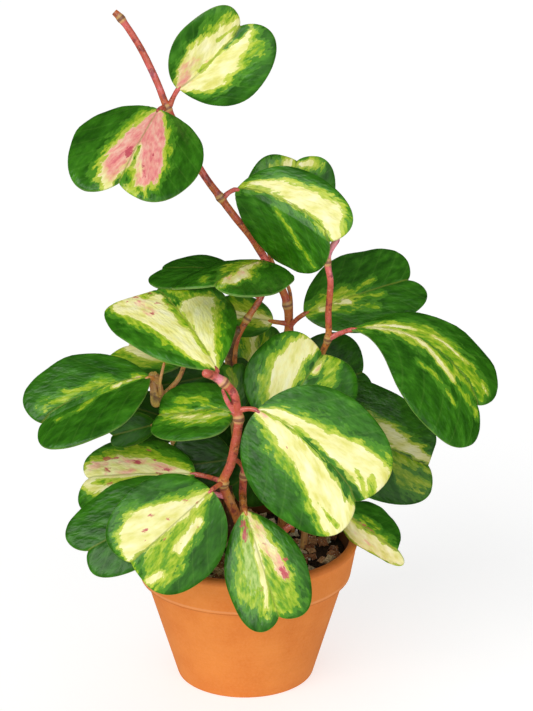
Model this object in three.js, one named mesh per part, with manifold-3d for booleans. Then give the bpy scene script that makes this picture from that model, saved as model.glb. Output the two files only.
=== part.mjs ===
// A sweetheart hoya with cream-centred leaves, growing in a low terracotta pot.
// Millimetres, +Z up. Most leaves look towards -Y, the plant's front.
// Every place below is measured from the pot's axis at the height of its underside.
import * as THREE from 'three';
import Module from 'manifold-3d';
import { mergeVertices } from 'three/addons/utils/BufferGeometryUtils.js';

// Pot
const POT_HEIGHT = 98;
const RIM_RADIUS = 76;
const BAND_HEIGHT = 26;
const BAND_LOW_RADIUS = 71.6;
const NECK_RADIUS = 68;
const BASE_RADIUS = 47;
const WALL = 6;
const FLOOR = 8;
const DRAIN_RADIUS = 8;
const POT_SIDES = 40;

// Potting mix
const MIX_TOP = 88;
const MIX_SIDES = 24;
const MIX_LUMP = 1.6;
const MIX_GAP = 0.6;
const CHUNKS = 26;
const CHUNK_SIZE = [4.5, 8];
const SEED = 41;

// Stems
const STEM_SIDES = 7;
const STEM_STEP = 18;
const PETIOLE_RADIUS = 1.9;
const CLEARANCE = 0.3;
const PETIOLE_GAP = 0.45;

// Leaf blades
const BLADE_THICKNESS = 2;
const FOOT_HALF = 1.5;
const ROWS = 6;
const HALF_COLUMNS = 4;
const ROW_SPREAD = 1.25;
const NOTCH_PULL = 4;
const LOBE_PLACE = 0.42;

const TERRACOTTA = { color: 0xd9793f, roughness: 0.85, metalness: 0 };
const PEAT = { color: 0x3a2a20, roughness: 1, metalness: 0 };
const GREEN_STEM = { color: 0x9a5b45, roughness: 0.55, metalness: 0 };
const LEAF = { color: 0x3f7d2c, roughness: 0.4, metalness: 0 };

const wasm = await Module();
wasm.setup();

const radians = THREE.MathUtils.degToRad;
const vector = (point) => new THREE.Vector3(...point);

function toSolid(geometry) {
  geometry.deleteAttribute('normal');
  geometry.deleteAttribute('uv');
  const merged = mergeVertices(geometry);
  return new wasm.Manifold(new wasm.Mesh({
    numProp: 3,
    vertProperties: new Float32Array(merged.attributes.position.array),
    triVerts: new Uint32Array(merged.index.array),
  }));
}

function toGeometry(solid) {
  const mesh = solid.getMesh();
  const geometry = new THREE.BufferGeometry();
  geometry.setAttribute('position', new THREE.BufferAttribute(mesh.vertProperties, 3));
  geometry.setIndex(new THREE.BufferAttribute(mesh.triVerts, 1));
  geometry.computeVertexNormals();
  return geometry;
}

function piece(name, geometry, finish) {
  const mesh = new THREE.Mesh(geometry, new THREE.MeshStandardMaterial(finish));
  mesh.name = name;
  return mesh;
}

// A small repeatable source of random numbers from 0 to 1.
function seeded(seed) {
  let state = seed;
  return () => {
    state = (state * 16807) % 2147483647;
    return state / 2147483647;
  };
}

// The lathe turns about Y, so the turned shape is stood up along Z.
function turned(profile, sides) {
  const points = profile.map(([radius, height]) => new THREE.Vector2(radius, height));
  return new THREE.LatheGeometry(points, sides).rotateX(Math.PI / 2);
}

// The pot is one fired piece: a tapered body, a rim band that stands proud, and a drain hole.
function pot() {
  const bandLow = POT_HEIGHT - BAND_HEIGHT;
  const profile = [
    [DRAIN_RADIUS, 0],
    [BASE_RADIUS - 1, 0],
    [BASE_RADIUS, 1.2],
    [NECK_RADIUS, bandLow],
    [BAND_LOW_RADIUS - 0.8, bandLow],
    [BAND_LOW_RADIUS, bandLow + 1],
    [RIM_RADIUS - 0.6, POT_HEIGHT - 4.5],
    [RIM_RADIUS, POT_HEIGHT - 2.5],
    [RIM_RADIUS - 0.7, POT_HEIGHT - 0.6],
    [RIM_RADIUS - 2.4, POT_HEIGHT],
    [RIM_RADIUS - WALL + 1.6, POT_HEIGHT],
    [RIM_RADIUS - WALL, POT_HEIGHT - 1.6],
    [BAND_LOW_RADIUS - WALL - 1, bandLow],
    [BASE_RADIUS - WALL + 2, FLOOR + 3],
    [BASE_RADIUS - WALL - 1, FLOOR],
    [DRAIN_RADIUS, FLOOR],
    [DRAIN_RADIUS, 0],
  ];
  return turned(profile, POT_SIDES);
}

// The inner wall's radius at a height, for what fills the pot.
function innerRadius(height) {
  const bandLow = POT_HEIGHT - BAND_HEIGHT;
  const low = { z: FLOOR + 3, r: BASE_RADIUS - WALL + 2 };
  const middle = { z: bandLow, r: BAND_LOW_RADIUS - WALL - 1 };
  const high = { z: POT_HEIGHT - 1.6, r: RIM_RADIUS - WALL };
  const [from, to] = height < middle.z ? [low, middle] : [middle, high];
  return THREE.MathUtils.mapLinear(height, from.z, to.z, from.r, to.r);
}

// A tube along a smooth route, from one radius to another, with flat ends.
function tube(route, startRadius, endRadius) {
  const curve = new THREE.CatmullRomCurve3(route.map(vector));
  const steps = Math.max(2, Math.round(curve.getLength() / STEM_STEP));
  const corners = Array.from({ length: STEM_SIDES }, (_, i) => {
    const angle = (2 * Math.PI * i) / STEM_SIDES;
    return new THREE.Vector2(Math.cos(angle), Math.sin(angle));
  });
  const options = { steps, bevelEnabled: false, extrudePath: curve };
  const geometry = new THREE.ExtrudeGeometry(new THREE.Shape(corners), options);
  const stations = curve.getSpacedPoints(steps);
  const position = geometry.attributes.position;
  const corner = new THREE.Vector3();
  for (let i = 0; i < position.count; i += 1) {
    corner.fromBufferAttribute(position, i);
    const gaps = stations.map((station) => station.distanceTo(corner));
    const nearest = gaps.indexOf(Math.min(...gaps));
    const radius = THREE.MathUtils.lerp(startRadius, endRadius, nearest / steps);
    corner.sub(stations[nearest]).multiplyScalar(radius).add(stations[nearest]);
    position.setXYZ(i, corner.x, corner.y, corner.z);
  }
  return geometry;
}

// A swollen node on a stem: a rounded ring whose axis follows the stem there.
function swelling(place, direction, radius) {
  const profile = [[0, -1.1], [1.3, -0.35], [1.3, 0.35], [0, 1.1]];
  const points = profile.map(([across, along]) => new THREE.Vector2(across * radius, along * radius));
  const geometry = new THREE.LatheGeometry(points, STEM_SIDES);
  const turn = new THREE.Quaternion().setFromUnitVectors(new THREE.Vector3(0, 1, 0), direction);
  return geometry.applyQuaternion(turn).translate(place.x, place.y, place.z);
}

// Half of a leaf's outline, in lengths of its midrib: x across, y from the foot to past the notch.
function halfOutline(leaf, side) {
  const width = leaf.half[side] / leaf.length;
  const full = leaf.full[side];
  const widest = THREE.MathUtils.lerp(0.66, 0.54, full);
  const lobe = 1 + leaf.lobe[side];
  const foot = FOOT_HALF / leaf.length;
  const point = (x, y) => new THREE.Vector2(x, y);
  const shoulder = THREE.MathUtils.lerp(0.28, 0.6, full) * width;
  return {
    lower: new THREE.CubicBezierCurve(
      point(foot, 0),
      point(shoulder, THREE.MathUtils.lerp(0.1, 0.0, full)),
      point(width, THREE.MathUtils.lerp(0.36, 0.22, full)),
      point(width, widest),
    ),
    upper: new THREE.CubicBezierCurve(
      point(width, widest),
      point(width, widest + 0.3),
      point(0.78 * width, lobe),
      point(LOBE_PLACE * width, lobe),
    ),
    notch: new THREE.CubicBezierCurve(
      point(0, 1),
      point(0.05 * width, 1 + 0.4 * leaf.lobe[side]),
      point(0.2 * width, lobe),
      point(LOBE_PLACE * width, lobe),
    ),
  };
}

// A point of the flat leaf. along runs 0 to 1 from the foot to the notch edge, across 0 to 1 from
// the midrib to the margin, so that the rows lean forwards as the side veins do.
function flatPoint(outline, along, across) {
  const curve = along < 0.5 ? outline.lower : outline.upper;
  const margin = curve.getPoint(along < 0.5 ? along * 2 : along * 2 - 1);
  const lobeTip = outline.notch.getPoint(1);
  const edge = outline.notch.getPoint(across);
  const pull = along ** NOTCH_PULL;
  const x = across * margin.x + pull * (edge.x - across * lobeTip.x);
  const straight = 1 - across + across * lobeTip.y;
  const y = (1 - across) * along ** ROW_SPREAD + across * margin.y + pull * (edge.y - straight);
  return [x, y];
}

// A leaf's own frame and bends, from its foot, notch and facing direction.
function leafFrame(spec) {
  const leaf = { ...USUAL_LEAF, ...spec };
  const foot = vector(leaf.foot);
  const chord = vector(leaf.notch).sub(foot);
  const bend = radians(leaf.arch) || 1e-4;
  const swing = radians(leaf.sway) || 1e-4;
  const shrink = (Math.sin(bend / 2) / (bend / 2)) * (Math.sin(swing / 2) / (swing / 2));
  leaf.length = chord.length() / shrink;
  leaf.bend = bend;
  leaf.swing = swing;
  leaf.origin = foot;
  leaf.forward = chord.normalize();
  leaf.up = vector(leaf.face);
  leaf.up.addScaledVector(leaf.forward, -leaf.up.dot(leaf.forward)).normalize();
  leaf.right = new THREE.Vector3().crossVectors(leaf.forward, leaf.up);
  return leaf;
}

// Where a point of the flat leaf lies once it is folded along the midrib, swayed and arched,
// and which way its upper side looks there.
function shapedPoint(leaf, flatX, flatY, side) {
  const sign = side === 0 ? -1 : 1;
  const reach = flatX * leaf.length;
  const y = flatY * leaf.length;
  const fold = radians(leaf.fold[side]);
  const curl = (radians(leaf.curl[side]) || 1e-4) / leaf.half[side];
  const slope = fold + curl * reach;
  const across = (Math.sin(slope) - Math.sin(fold)) / curl;
  const lift = (Math.cos(fold) - Math.cos(slope)) / curl;

  const turnRate = leaf.swing / leaf.length;
  const heading = turnRate * y - leaf.swing / 2;
  const swayX = (Math.cos(heading) - Math.cos(leaf.swing / 2)) / -turnRate;
  const swayY = (Math.sin(heading) + Math.sin(leaf.swing / 2)) / turnRate;
  const planX = swayX + sign * across * Math.cos(heading);
  const planY = swayY - sign * across * Math.sin(heading);

  const plan = (leaf.length * Math.sin(leaf.swing / 2)) / (leaf.swing / 2);
  const rate = leaf.bend / plan;
  const pitch = leaf.bend / 2 - rate * planY;
  const forward = (Math.sin(leaf.bend / 2) - Math.sin(pitch)) / rate;
  const rise = (Math.cos(pitch) - Math.cos(leaf.bend / 2)) / rate;
  const roll = radians(leaf.twist) * (planY / plan - 0.5);

  const tangent = leaf.forward.clone().multiplyScalar(Math.cos(pitch));
  tangent.addScaledVector(leaf.up, Math.sin(pitch));
  const normal = leaf.up.clone().multiplyScalar(Math.cos(pitch));
  normal.addScaledVector(leaf.forward, -Math.sin(pitch));
  const right = leaf.right.clone().applyAxisAngle(tangent, -roll);
  normal.applyAxisAngle(tangent, -roll);

  const place = leaf.origin.clone();
  place.addScaledVector(leaf.forward, forward).addScaledVector(leaf.up, rise);
  place.addScaledVector(right, planX).addScaledVector(normal, lift);
  const lateral = right.clone().multiplyScalar(Math.cos(heading));
  lateral.addScaledVector(tangent, -Math.sin(heading));
  const facing = normal.multiplyScalar(Math.cos(slope));
  facing.addScaledVector(lateral, -sign * Math.sin(slope));
  return { place, facing };
}

// The direction in which a leaf's midrib leaves its foot.
function footDirection(leaf) {
  const near = shapedPoint(leaf, 0, 0.01, 1).place;
  return near.sub(shapedPoint(leaf, 0, 0, 1).place).normalize();
}

// A closed blade: a grid of points on the leaf's surface, once for each face, joined at the margin.
function blade(leaf) {
  const columns = HALF_COLUMNS * 2;
  const grid = new THREE.PlaneGeometry(1, 1, columns, ROWS);
  const outlines = [halfOutline(leaf, 0), halfOutline(leaf, 1)];
  const gap = footDirection(leaf).multiplyScalar(PETIOLE_GAP);
  const upper = [];
  const lower = [];
  for (let row = 0; row <= ROWS; row += 1) {
    for (let column = 0; column <= columns; column += 1) {
      const offset = column - HALF_COLUMNS;
      const across = Math.abs(offset) / HALF_COLUMNS;
      const sides = offset === 0 ? [0, 1] : [offset < 0 ? 0 : 1];
      const found = sides.map((side) => {
        const [x, y] = flatPoint(outlines[side], row / ROWS, across);
        return shapedPoint(leaf, x, y, side);
      });
      const facing = found.reduce((sum, one) => sum.add(one.facing), new THREE.Vector3()).normalize();
      const place = found[0].place.add(gap);
      upper.push(place.clone().addScaledVector(facing, BLADE_THICKNESS / 2));
      lower.push(place.clone().addScaledVector(facing, -BLADE_THICKNESS / 2));
    }
  }

  const count = upper.length;
  const faces = Array.from(grid.index.array);
  const index = [];
  for (let i = 0; i < faces.length; i += 3) {
    const [a, b, c] = faces.slice(i, i + 3);
    index.push(a, c, b, a + count, b + count, c + count);
  }
  const wide = columns + 1;
  const rim = [];
  for (let column = 0; column < columns; column += 1) rim.push(column);
  for (let row = 0; row < ROWS; row += 1) rim.push(row * wide + columns);
  for (let column = columns; column > 0; column -= 1) rim.push(ROWS * wide + column);
  for (let row = ROWS; row > 0; row -= 1) rim.push(row * wide);
  rim.forEach((from, i) => {
    const to = rim[(i + 1) % rim.length];
    index.push(from, from + count, to + count, from, to + count, to);
  });

  const geometry = new THREE.BufferGeometry().setFromPoints([...upper, ...lower]);
  geometry.setIndex(index);
  geometry.computeVertexNormals();
  return geometry;
}

// Stems, each as the route of its axis from inside the potting mix to its tip, with the radius at
// both ends and the route points, counted from 0, at which it has a swollen node.
const STEMS = {
  stem_tall: {
    radius: [3.1, 2.1],
    route: [
      [24, 24, 45], [25, 23, 95], [28, 18, 170], [29, 15, 236], [28, 15, 256], [24, 14, 268],
      [5, 8, 303], [-6, 5, 318], [-15, 4, 331], [-26, 2, 347], [-48, 0, 390], [-55, 0, 408],
      [-65, 0, 429], [-76, 0, 446], [-80, 0, 450],
    ],
    nodes: [3, 4, 8, 10, 13],
  },
  stem_thin: {
    radius: [1.4, 1.2],
    route: [[31, 25, 45], [33, 25, 120], [31, 22, 240], [29, 20, 266], [20, 21, 280], [14, 22, 294]],
    nodes: [],
  },
  stem_middle: {
    radius: [2.4, 2],
    route: [
      [0, 12, 45], [0, 11, 95], [-5, 2, 170], [-7, -4, 221], [-5, -4, 238], [2, -3, 252],
      [11, 0, 266], [13, 1, 276],
    ],
    nodes: [5],
  },
  stem_right: {
    radius: [2.4, 2],
    route: [
      [38, 4, 45], [40, 2, 95], [48, -8, 180], [50, -14, 230], [54, -18, 243], [54, -22, 263],
      [55, -24, 283], [53, -24, 296], [54, -23, 302], [60, -20, 311],
    ],
    nodes: [4, 7],
  },
  stem_front: {
    radius: [3.2, 2.8],
    route: [
      [2, -34, 45], [1, -38, 90], [-4, -50, 130], [-11, -60, 152], [-13, -64, 162], [-8, -68, 177],
      [-3, -72, 208], [-4, -72, 213], [-6, -74, 225], [-12, -76, 233], [-18, -78, 238],
      [-24, -86, 243],
    ],
    nodes: [4, 6, 9],
    stubs: [
      { points: [[-5, -72, 212], [-10, -76, 221], [-13, -79, 230]], thick: [2.2, 1] },
    ],
  },
  stem_low: {
    radius: [2.7, 2.4],
    route: [[4, -26, 45], [3, -30, 95], [-1, -44, 145], [0, -47, 160], [2, -47, 171], [10, -46, 184]],
    nodes: [3],
  },
  stem_left: {
    radius: [2.6, 2.2],
    route: [[-24, -4, 45], [-25, -6, 95], [-40, -18, 150], [-54, -18, 201], [-57, -20, 220]],
    nodes: [3],
    stubs: [
      { points: [[-56, -19, 203], [-57, -19, 212], [-58, -18, 221]], thick: [2.4, 1.6] },
      { points: [[-54, -20, 203], [-54, -29, 217], [-51, -30, 231]], thick: [1.2, 0.9] },
    ],
  },
  stem_rim: {
    radius: [2.6, 2.3],
    route: [[16, -34, 45], [17, -38, 90], [24, -44, 118], [44, -40, 130], [54, -36, 131]],
    nodes: [3],
  },
};

// Leaf blades. from is where the petiole leaves its stem, foot where the blade starts and notch
// where its midrib ends. face is the way the upper side looks. half gives the widths on the left
// and right of the midrib, seen from above with the foot nearest; fold, curl, arch, sway and twist
// are in degrees, and full is 0 for a wedge-shaped base and 1 for a round one. What a leaf doesn't
// state is as on the usual leaf.
const USUAL_LEAF = {
  face: [0, -0.95, 0.31], fold: [0, 0], curl: [-10, -10], lobe: [0.08, 0.08], full: [0.7, 0.7],
  arch: 15, sway: 0, twist: 0,
};
const LEAVES = {
  leaf_crown_right: {
    stem: 'stem_tall', from: [-47, 0, 390], foot: [-41, -1, 402], notch: [-2, -6, 442],
    half: [25, 36], fold: [35, 0], lobe: [0.08, 0.2],
  },
  leaf_crown_left: {
    stem: 'stem_tall', from: [-49, 0, 390], foot: [-53, -7, 390], notch: [-75, -58, 356],
    face: [0.05, -0.57, 0.82], half: [42, 41], lobe: [0.1, 0.18], full: [0.9, 0.9],
  },
  leaf_high_right: {
    stem: 'stem_tall', from: [-14, 4, 330], foot: [-5, 1, 337], notch: [53, -30, 311],
    half: [31, 37], fold: [0, -30], curl: [-10, -20], full: [0.6, 0.6], sway: 15,
  },
  leaf_high_back: {
    stem: 'stem_thin', from: [14, 22, 294], foot: [15, 22, 298], notch: [34, 34, 348],
    half: [28, 31], lobe: [0.03, 0.1], sway: -15,
  },
  leaf_shelf_front: {
    stem: 'stem_middle', from: [13, 1, 275], foot: [12, -4, 291], notch: [-17, -68, 294],
    face: [0, -0.1, 1], half: [37, 39], curl: [-10, -35], lobe: [0.12, 0.12],
  },
  leaf_shelf_left: {
    stem: 'stem_middle', from: [10, 0, 265], foot: [-11, 14, 279], notch: [-54, 30, 276],
    face: [0, -0.1, 1], half: [30, 30],
  },
  leaf_big_arch: {
    stem: 'stem_front', from: [-18, -78, 238], foot: [-16, -74, 240], notch: [-57, 2, 270],
    face: [0.1, -0.4, 0.9], half: [43, 40], lobe: [-0.04, 0.08], full: [0.2, 0.2], arch: 40,
    sway: 15,
  },
  leaf_far_left: {
    stem: 'stem_left', from: [-54, -18, 203], foot: [-60, -34, 222], notch: [-128, -52, 198],
    face: [0, -0.5, 0.8], half: [34, 35], fold: [15, 15], full: [0.5, 0.5],
  },
  leaf_left_back: {
    stem: 'stem_left', from: [-54, -18, 203], foot: [-40, -2, 221], notch: [-78, 30, 223],
    face: [0, -0.3, 0.95], half: [30, 30],
  },
  leaf_middle_left: {
    stem: 'stem_front', from: [-4, -72, 212], foot: [-6, -63, 207], notch: [-54, -44, 201],
    face: [0, -0.6, 0.6], half: [23, 24], fold: [20, 0], lobe: [0.03, 0.03], full: [1.1, 1.1],
  },
  leaf_upright: {
    stem: 'stem_low', from: [10, -46, 184], foot: [18, -46, 192], notch: [50, -24, 234],
    half: [37, 37], full: [1, 1],
  },
  leaf_big_front: {
    stem: 'stem_front', from: [-4, -72, 213], foot: [8, -76, 215], notch: [69, -98, 163],
    half: [47, 40], full: [0.95, 0.95],
  },
  leaf_right_back: {
    stem: 'stem_tall', from: [29, 15, 240], foot: [39, 10, 251], notch: [109, 40, 266],
    face: [0, -0.75, 0.65], half: [32, 27], lobe: [0.08, 0.11], full: [0.5, 0.7],
  },
  leaf_right_droop: {
    stem: 'stem_right', from: [54, -18, 243], foot: [69, -24, 251], notch: [147, -60, 213],
    face: [0.3, -0.5, 0.8], half: [36, 46], lobe: [0.04, 0.2], full: [0.3, -0.8], arch: 70,
    sway: 20,
  },
  leaf_right_dark: {
    stem: 'stem_right', from: [49, -10, 196], foot: [55, -8, 192], notch: [120, -26, 159],
    face: [-0.3, -0.8, 0.6], half: [34, 36], lobe: [0, 0.09], full: [1.8, 1.2], sway: -20,
  },
  leaf_low_right: {
    stem: 'stem_rim', from: [54, -36, 131], foot: [64, -34, 130], notch: [101, -24, 97],
    half: [22, 22], fold: [-35, -50], lobe: [0.02, 0.32], full: [0.7, 1.3],
    twist: 10,
  },
  leaf_over_rim_front: {
    stem: 'stem_low', from: [-1, -44, 145], foot: [1, -70, 145], notch: [22, -104, 88],
    half: [27, 26], lobe: [0.06, 0.09], full: [0.3, 0.3],
  },
  leaf_over_rim_left: {
    stem: 'stem_front', from: [-13, -64, 162], foot: [-20, -74, 161], notch: [-70, -98, 122],
    half: [39, 34], lobe: [0.03, 0.06], full: [0.9, 0.9],
  },
  leaf_low_left: {
    stem: 'stem_front', from: [-11, -59, 150], foot: [-30, -66, 155], notch: [-98, -84, 124],
    face: [0, -0.7, 0.7], half: [27, 32], lobe: [0.06, 0.12],
  },
  leaf_low_left_back: {
    stem: 'stem_front', from: [-13, -64, 162], foot: [-31, -50, 162], notch: [-101, -36, 154],
    face: [-0.35, -0.55, 0.75], half: [32, 29],
  },
  leaf_small_dark: {
    stem: 'stem_left', from: [-50, -18, 186], foot: [-57, -30, 189], notch: [-84, -40, 185],
    half: [10, 12],
  },
  leaf_behind_stem: {
    stem: 'stem_tall', from: [29, 15, 243], foot: [19, 13, 245], notch: [-15, 24, 248],
    half: [14, 14],
  },
  leaf_back_right: {
    stem: 'stem_tall', from: [28, 18, 190], foot: [32, 30, 187], notch: [79, 36, 202],
    half: [34, 28],
  },
  leaf_back_middle: {
    stem: 'stem_tall', from: [27, 19, 180], foot: [11, 26, 197], notch: [9, 40, 230],
    half: [17, 17],
  },
  leaf_inner: {
    stem: 'stem_middle', from: [-6, 0, 190], foot: [-5, -34, 199], notch: [-8, -22, 225],
    half: [12, 12],
  },
  leaf_inner_left: {
    stem: 'stem_left', from: [-48, -18, 180], foot: [-38, -10, 182], notch: [-74, 0, 190],
    half: [22, 14],
  },
  leaf_inner_low: {
    stem: 'stem_low', from: [0, -47, 160], foot: [-7, -28, 164], notch: [-42, -31, 160],
    half: [19, 22],
  },
  leaf_inner_right: {
    stem: 'stem_right', from: [47, -6, 168], foot: [30, -22, 174], notch: [-8, -20, 142],
    half: [24, 23],
  },
  leaf_inner_high: {
    stem: 'stem_middle', from: [-7, -2, 205], foot: [-20, 8, 210], notch: [-60, 4, 203],
    half: [16, 13], face: [0, -0.95, 0.1],
  },
  leaf_inner_back: {
    stem: 'stem_middle', from: [-4, 5, 148], foot: [-8, 14, 152], notch: [-12, 20, 212],
    half: [22, 20],
  },
  leaf_rear_middle: {
    stem: 'stem_tall', from: [27, 19, 150], foot: [21, 38, 160], notch: [2, 66, 203],
    face: [0, 0.8, 0.6], half: [28, 28],
  },
  leaf_rear_right: {
    stem: 'stem_right', from: [41, 1, 112], foot: [52, 22, 124], notch: [88, 54, 146],
    face: [0.3, 0.7, 0.6], half: [29, 28],
  },
  leaf_rear_left: {
    stem: 'stem_left', from: [-31, -11, 118], foot: [-44, 14, 132], notch: [-78, 48, 152],
    face: [-0.3, 0.7, 0.6], half: [27, 28],
  },
  leaf_rear_low: {
    stem: 'stem_middle', from: [-2, 7, 130], foot: [-8, 30, 136], notch: [-22, 78, 124],
    face: [0, 0.5, 0.85], half: [26, 25],
  },
};

function stemAxis(name) {
  return new THREE.CatmullRomCurve3(STEMS[name].route.map(vector));
}

// A petiole runs from its stem's axis to the blade's foot and arrives in the midrib's direction.
function petiole(leaf) {
  const start = vector(leaf.from);
  const gap = start.distanceTo(leaf.origin);
  const before = leaf.origin.clone().addScaledVector(footDirection(leaf), -0.45 * gap);
  const route = [start, before, leaf.origin].map((point) => point.toArray());
  return tube(route, PETIOLE_RADIUS, PETIOLE_RADIUS);
}

// One leafy stem with its nodes and petioles, joined into a single solid.
function stem(name, leaves) {
  const { route, radius, nodes, stubs = [] } = STEMS[name];
  const axis = stemAxis(name);
  let solid = toSolid(tube(route, ...radius));
  nodes.forEach((number) => {
    const share = number / (route.length - 1);
    const thick = THREE.MathUtils.lerp(...radius, share);
    solid = solid.add(toSolid(swelling(axis.getPoint(share), axis.getTangent(share), thick)));
  });
  stubs.forEach(({ points, thick }) => {
    solid = solid.add(toSolid(tube(points, ...thick)));
  });
  leaves.filter((leaf) => leaf.stem === name).forEach((leaf) => {
    solid = solid.add(toSolid(petiole(leaf)));
  });
  return solid;
}

// The potting mix fills the pot with a lumpy top, bark chunks and a plain hole for each stem.
function pottingMix() {
  const lowest = FLOOR + CLEARANCE;
  const low = FLOOR + 3;
  const bandLow = POT_HEIGHT - BAND_HEIGHT;
  const edge = innerRadius(MIX_TOP) - MIX_GAP;
  const rings = [0.8, 0.55, 0.28];
  const profile = [
    [0, lowest],
    [BASE_RADIUS - WALL - 1 - MIX_GAP, lowest],
    [innerRadius(low) - MIX_GAP, low + MIX_GAP],
    [innerRadius(bandLow) - MIX_GAP, bandLow],
    [edge, MIX_TOP - 1],
    ...rings.map((share) => [edge * share, MIX_TOP]),
    [0, MIX_TOP],
  ];
  const body = turned(profile, MIX_SIDES);
  const position = body.attributes.position;
  for (let i = 0; i < position.count; i += 1) {
    const [x, y, z] = [position.getX(i), position.getY(i), position.getZ(i)];
    const swell = Math.sin(x * 0.31 + 1) * Math.cos(y * 0.27) + Math.sin((x - y) * 0.17);
    if (z > MIX_TOP - 0.5) position.setZ(i, z + MIX_LUMP * 0.6 * swell);
  }
  let solid = toSolid(body);

  const random = seeded(SEED);
  const between = ([least, most]) => THREE.MathUtils.lerp(least, most, random());
  for (let i = 0; i < CHUNKS; i += 1) {
    const size = between(CHUNK_SIZE);
    const away = Math.sqrt(random()) * (edge - size - 1);
    const angle = 2 * Math.PI * random();
    const chunk = new THREE.IcosahedronGeometry(size, 0);
    chunk.scale(1, between([0.6, 0.9]), between([0.4, 0.65]));
    chunk.rotateX(between([-0.5, 0.5])).rotateY(between([-0.5, 0.5])).rotateZ(Math.PI * random());
    chunk.translate(away * Math.cos(angle), away * Math.sin(angle), MIX_TOP + between([-1, 1.2]));
    solid = solid.add(toSolid(chunk));
  }

  Object.values(STEMS).forEach(({ route, radius }) => {
    const [[x, y, z], ...above] = route.slice(0, 3);
    const wide = radius[0] + 2 * CLEARANCE;
    solid = solid.subtract(toSolid(tube([[x, y, z - 2 * CLEARANCE], ...above], wide, wide)));
  });
  return solid;
}

const group = new THREE.Group();
const plant = new THREE.Group();
group.add(plant);

const leaves = Object.entries(LEAVES).map(([name, spec]) => leafFrame({ name, ...spec }));
plant.add(piece('pot', pot(), TERRACOTTA));
plant.add(piece('potting_mix', toGeometry(pottingMix()), PEAT));
Object.keys(STEMS).forEach((name) => {
  plant.add(piece(name, toGeometry(stem(name, leaves)), GREEN_STEM));
});
leaves.forEach((leaf) => {
  plant.add(piece(leaf.name, blade(leaf), LEAF));
});

// The origin is the middle of the whole object's footprint, at the height of the pot's underside.
const bounds = new THREE.Box3().setFromObject(plant);
const middle = bounds.getCenter(new THREE.Vector3());
plant.position.set(-middle.x, -middle.y, 0);

export default group;
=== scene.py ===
import math
import random

import bmesh
import bpy
import numpy as np
from mathutils import Matrix, Vector, noise


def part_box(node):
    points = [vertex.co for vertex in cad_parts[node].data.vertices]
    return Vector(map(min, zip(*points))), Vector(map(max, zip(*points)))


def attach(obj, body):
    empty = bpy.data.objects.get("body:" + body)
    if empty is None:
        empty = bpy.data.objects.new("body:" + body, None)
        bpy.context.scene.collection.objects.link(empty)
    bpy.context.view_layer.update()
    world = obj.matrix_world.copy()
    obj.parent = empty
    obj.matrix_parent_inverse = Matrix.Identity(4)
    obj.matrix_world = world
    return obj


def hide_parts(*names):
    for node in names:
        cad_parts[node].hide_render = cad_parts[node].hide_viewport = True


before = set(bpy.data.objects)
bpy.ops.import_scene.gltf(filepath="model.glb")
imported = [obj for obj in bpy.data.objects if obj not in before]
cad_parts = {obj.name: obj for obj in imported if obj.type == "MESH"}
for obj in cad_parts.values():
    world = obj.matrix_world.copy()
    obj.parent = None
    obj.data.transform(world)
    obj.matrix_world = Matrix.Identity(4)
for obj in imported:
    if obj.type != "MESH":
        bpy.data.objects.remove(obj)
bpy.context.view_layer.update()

# A sweetheart hoya with cream-centred leaves, growing in a low terracotta pot.
# Lengths are in millimetres and measured from the pot's axis, at the height of its underside.
# finished() turns them into metres in the row's frame.
MM = 0.001
POT_LOW, POT_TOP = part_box("pot")
AXIS = Vector(((POT_LOW.x + POT_TOP.x) / 2, (POT_LOW.y + POT_TOP.y) / 2, POT_LOW.z))

# Pot
POT_HEIGHT = 98
RIM_RADIUS = 76
BAND_HEIGHT = 26
BAND_FOOT = POT_HEIGHT - BAND_HEIGHT
BAND_LOW_RADIUS = 71.6
NECK_RADIUS = 68
BASE_RADIUS = 47
WALL = 6
FLOOR = 8
DRAIN_RADIUS = 8
POT_STEPS = 160
CLAY_STEP = 4

# Potting mix, with its gaps to the pot and the swells of its top
MIX_TOP = 87
MIX_STEPS = 120
MIX_RINGS = 44
GAP_BELOW = 0.3
GAP_AT_FOOT = 0.4
GAP_BESIDE = 0.3
GAP_AT_TOP = 0.25
SWELLS = (
    dict(high=1.3, wide=17, place=3),
    dict(high=1.1, wide=6, place=8),
    dict(high=0.5, wide=2, place=1),
)

# Loose bits on the mix, lifted and dented by shares of their size
BIT_GAP = 0.6
BIT_LIFT = 0.15
BIT_DENT = 0.35
BIT_TILT = 0.5

# Leaf blades
FOOT_HALF = 1.5
ROW_SPREAD = 1.25
NOTCH_PULL = 4
LOBE_PLACE = 0.42
FOOT_GAP = 0.45
HALF_THICK = 1.0
EDGE_THICK = 0.22
EDGE_ROUND = 1.4
HALF_COLUMNS = 26
ROWS = 46
COLUMN_CROWDING = 0.85
ROW_CROWDING = 0.7
RIM_POINTS = 90
RIM_CROWDING = 0.5
NOTCH_POINTS = 30
NOTCH_SHARE = 0.12
FLATTEST = 1e-4

# Relief of a blade, sunk into its top and raised on its underside
# A side vein runs VEIN_SLOPE forwards for each mm outwards, and VEINS_ALONG of them leave each side.
VEIN_SLOPE = 1.25
VEIN_BOW = 0.008
VEINS_ALONG = 5.5
VEIN_WIDTH = 1.1
VEIN_TOP, VEIN_UNDER = 0.14, 0.18
MIDRIB_WIDTH = 1.3
MIDRIB_TOP, MIDRIB_UNDER = 0.45, 0.35
QUILT_TOP, QUILT_UNDER = 0.14, 0.084
WAVE_HEIGHTS = (0.7, 0.5)
WAVE_RUNS = (9, 5.5)
SWELL_HEIGHTS = (0.16, 0.12)
SWELL_RUNS = (2.9, 3.6, 2.2)
DROOP = 0.9
DROOP_WIDTH = 4.5

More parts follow.
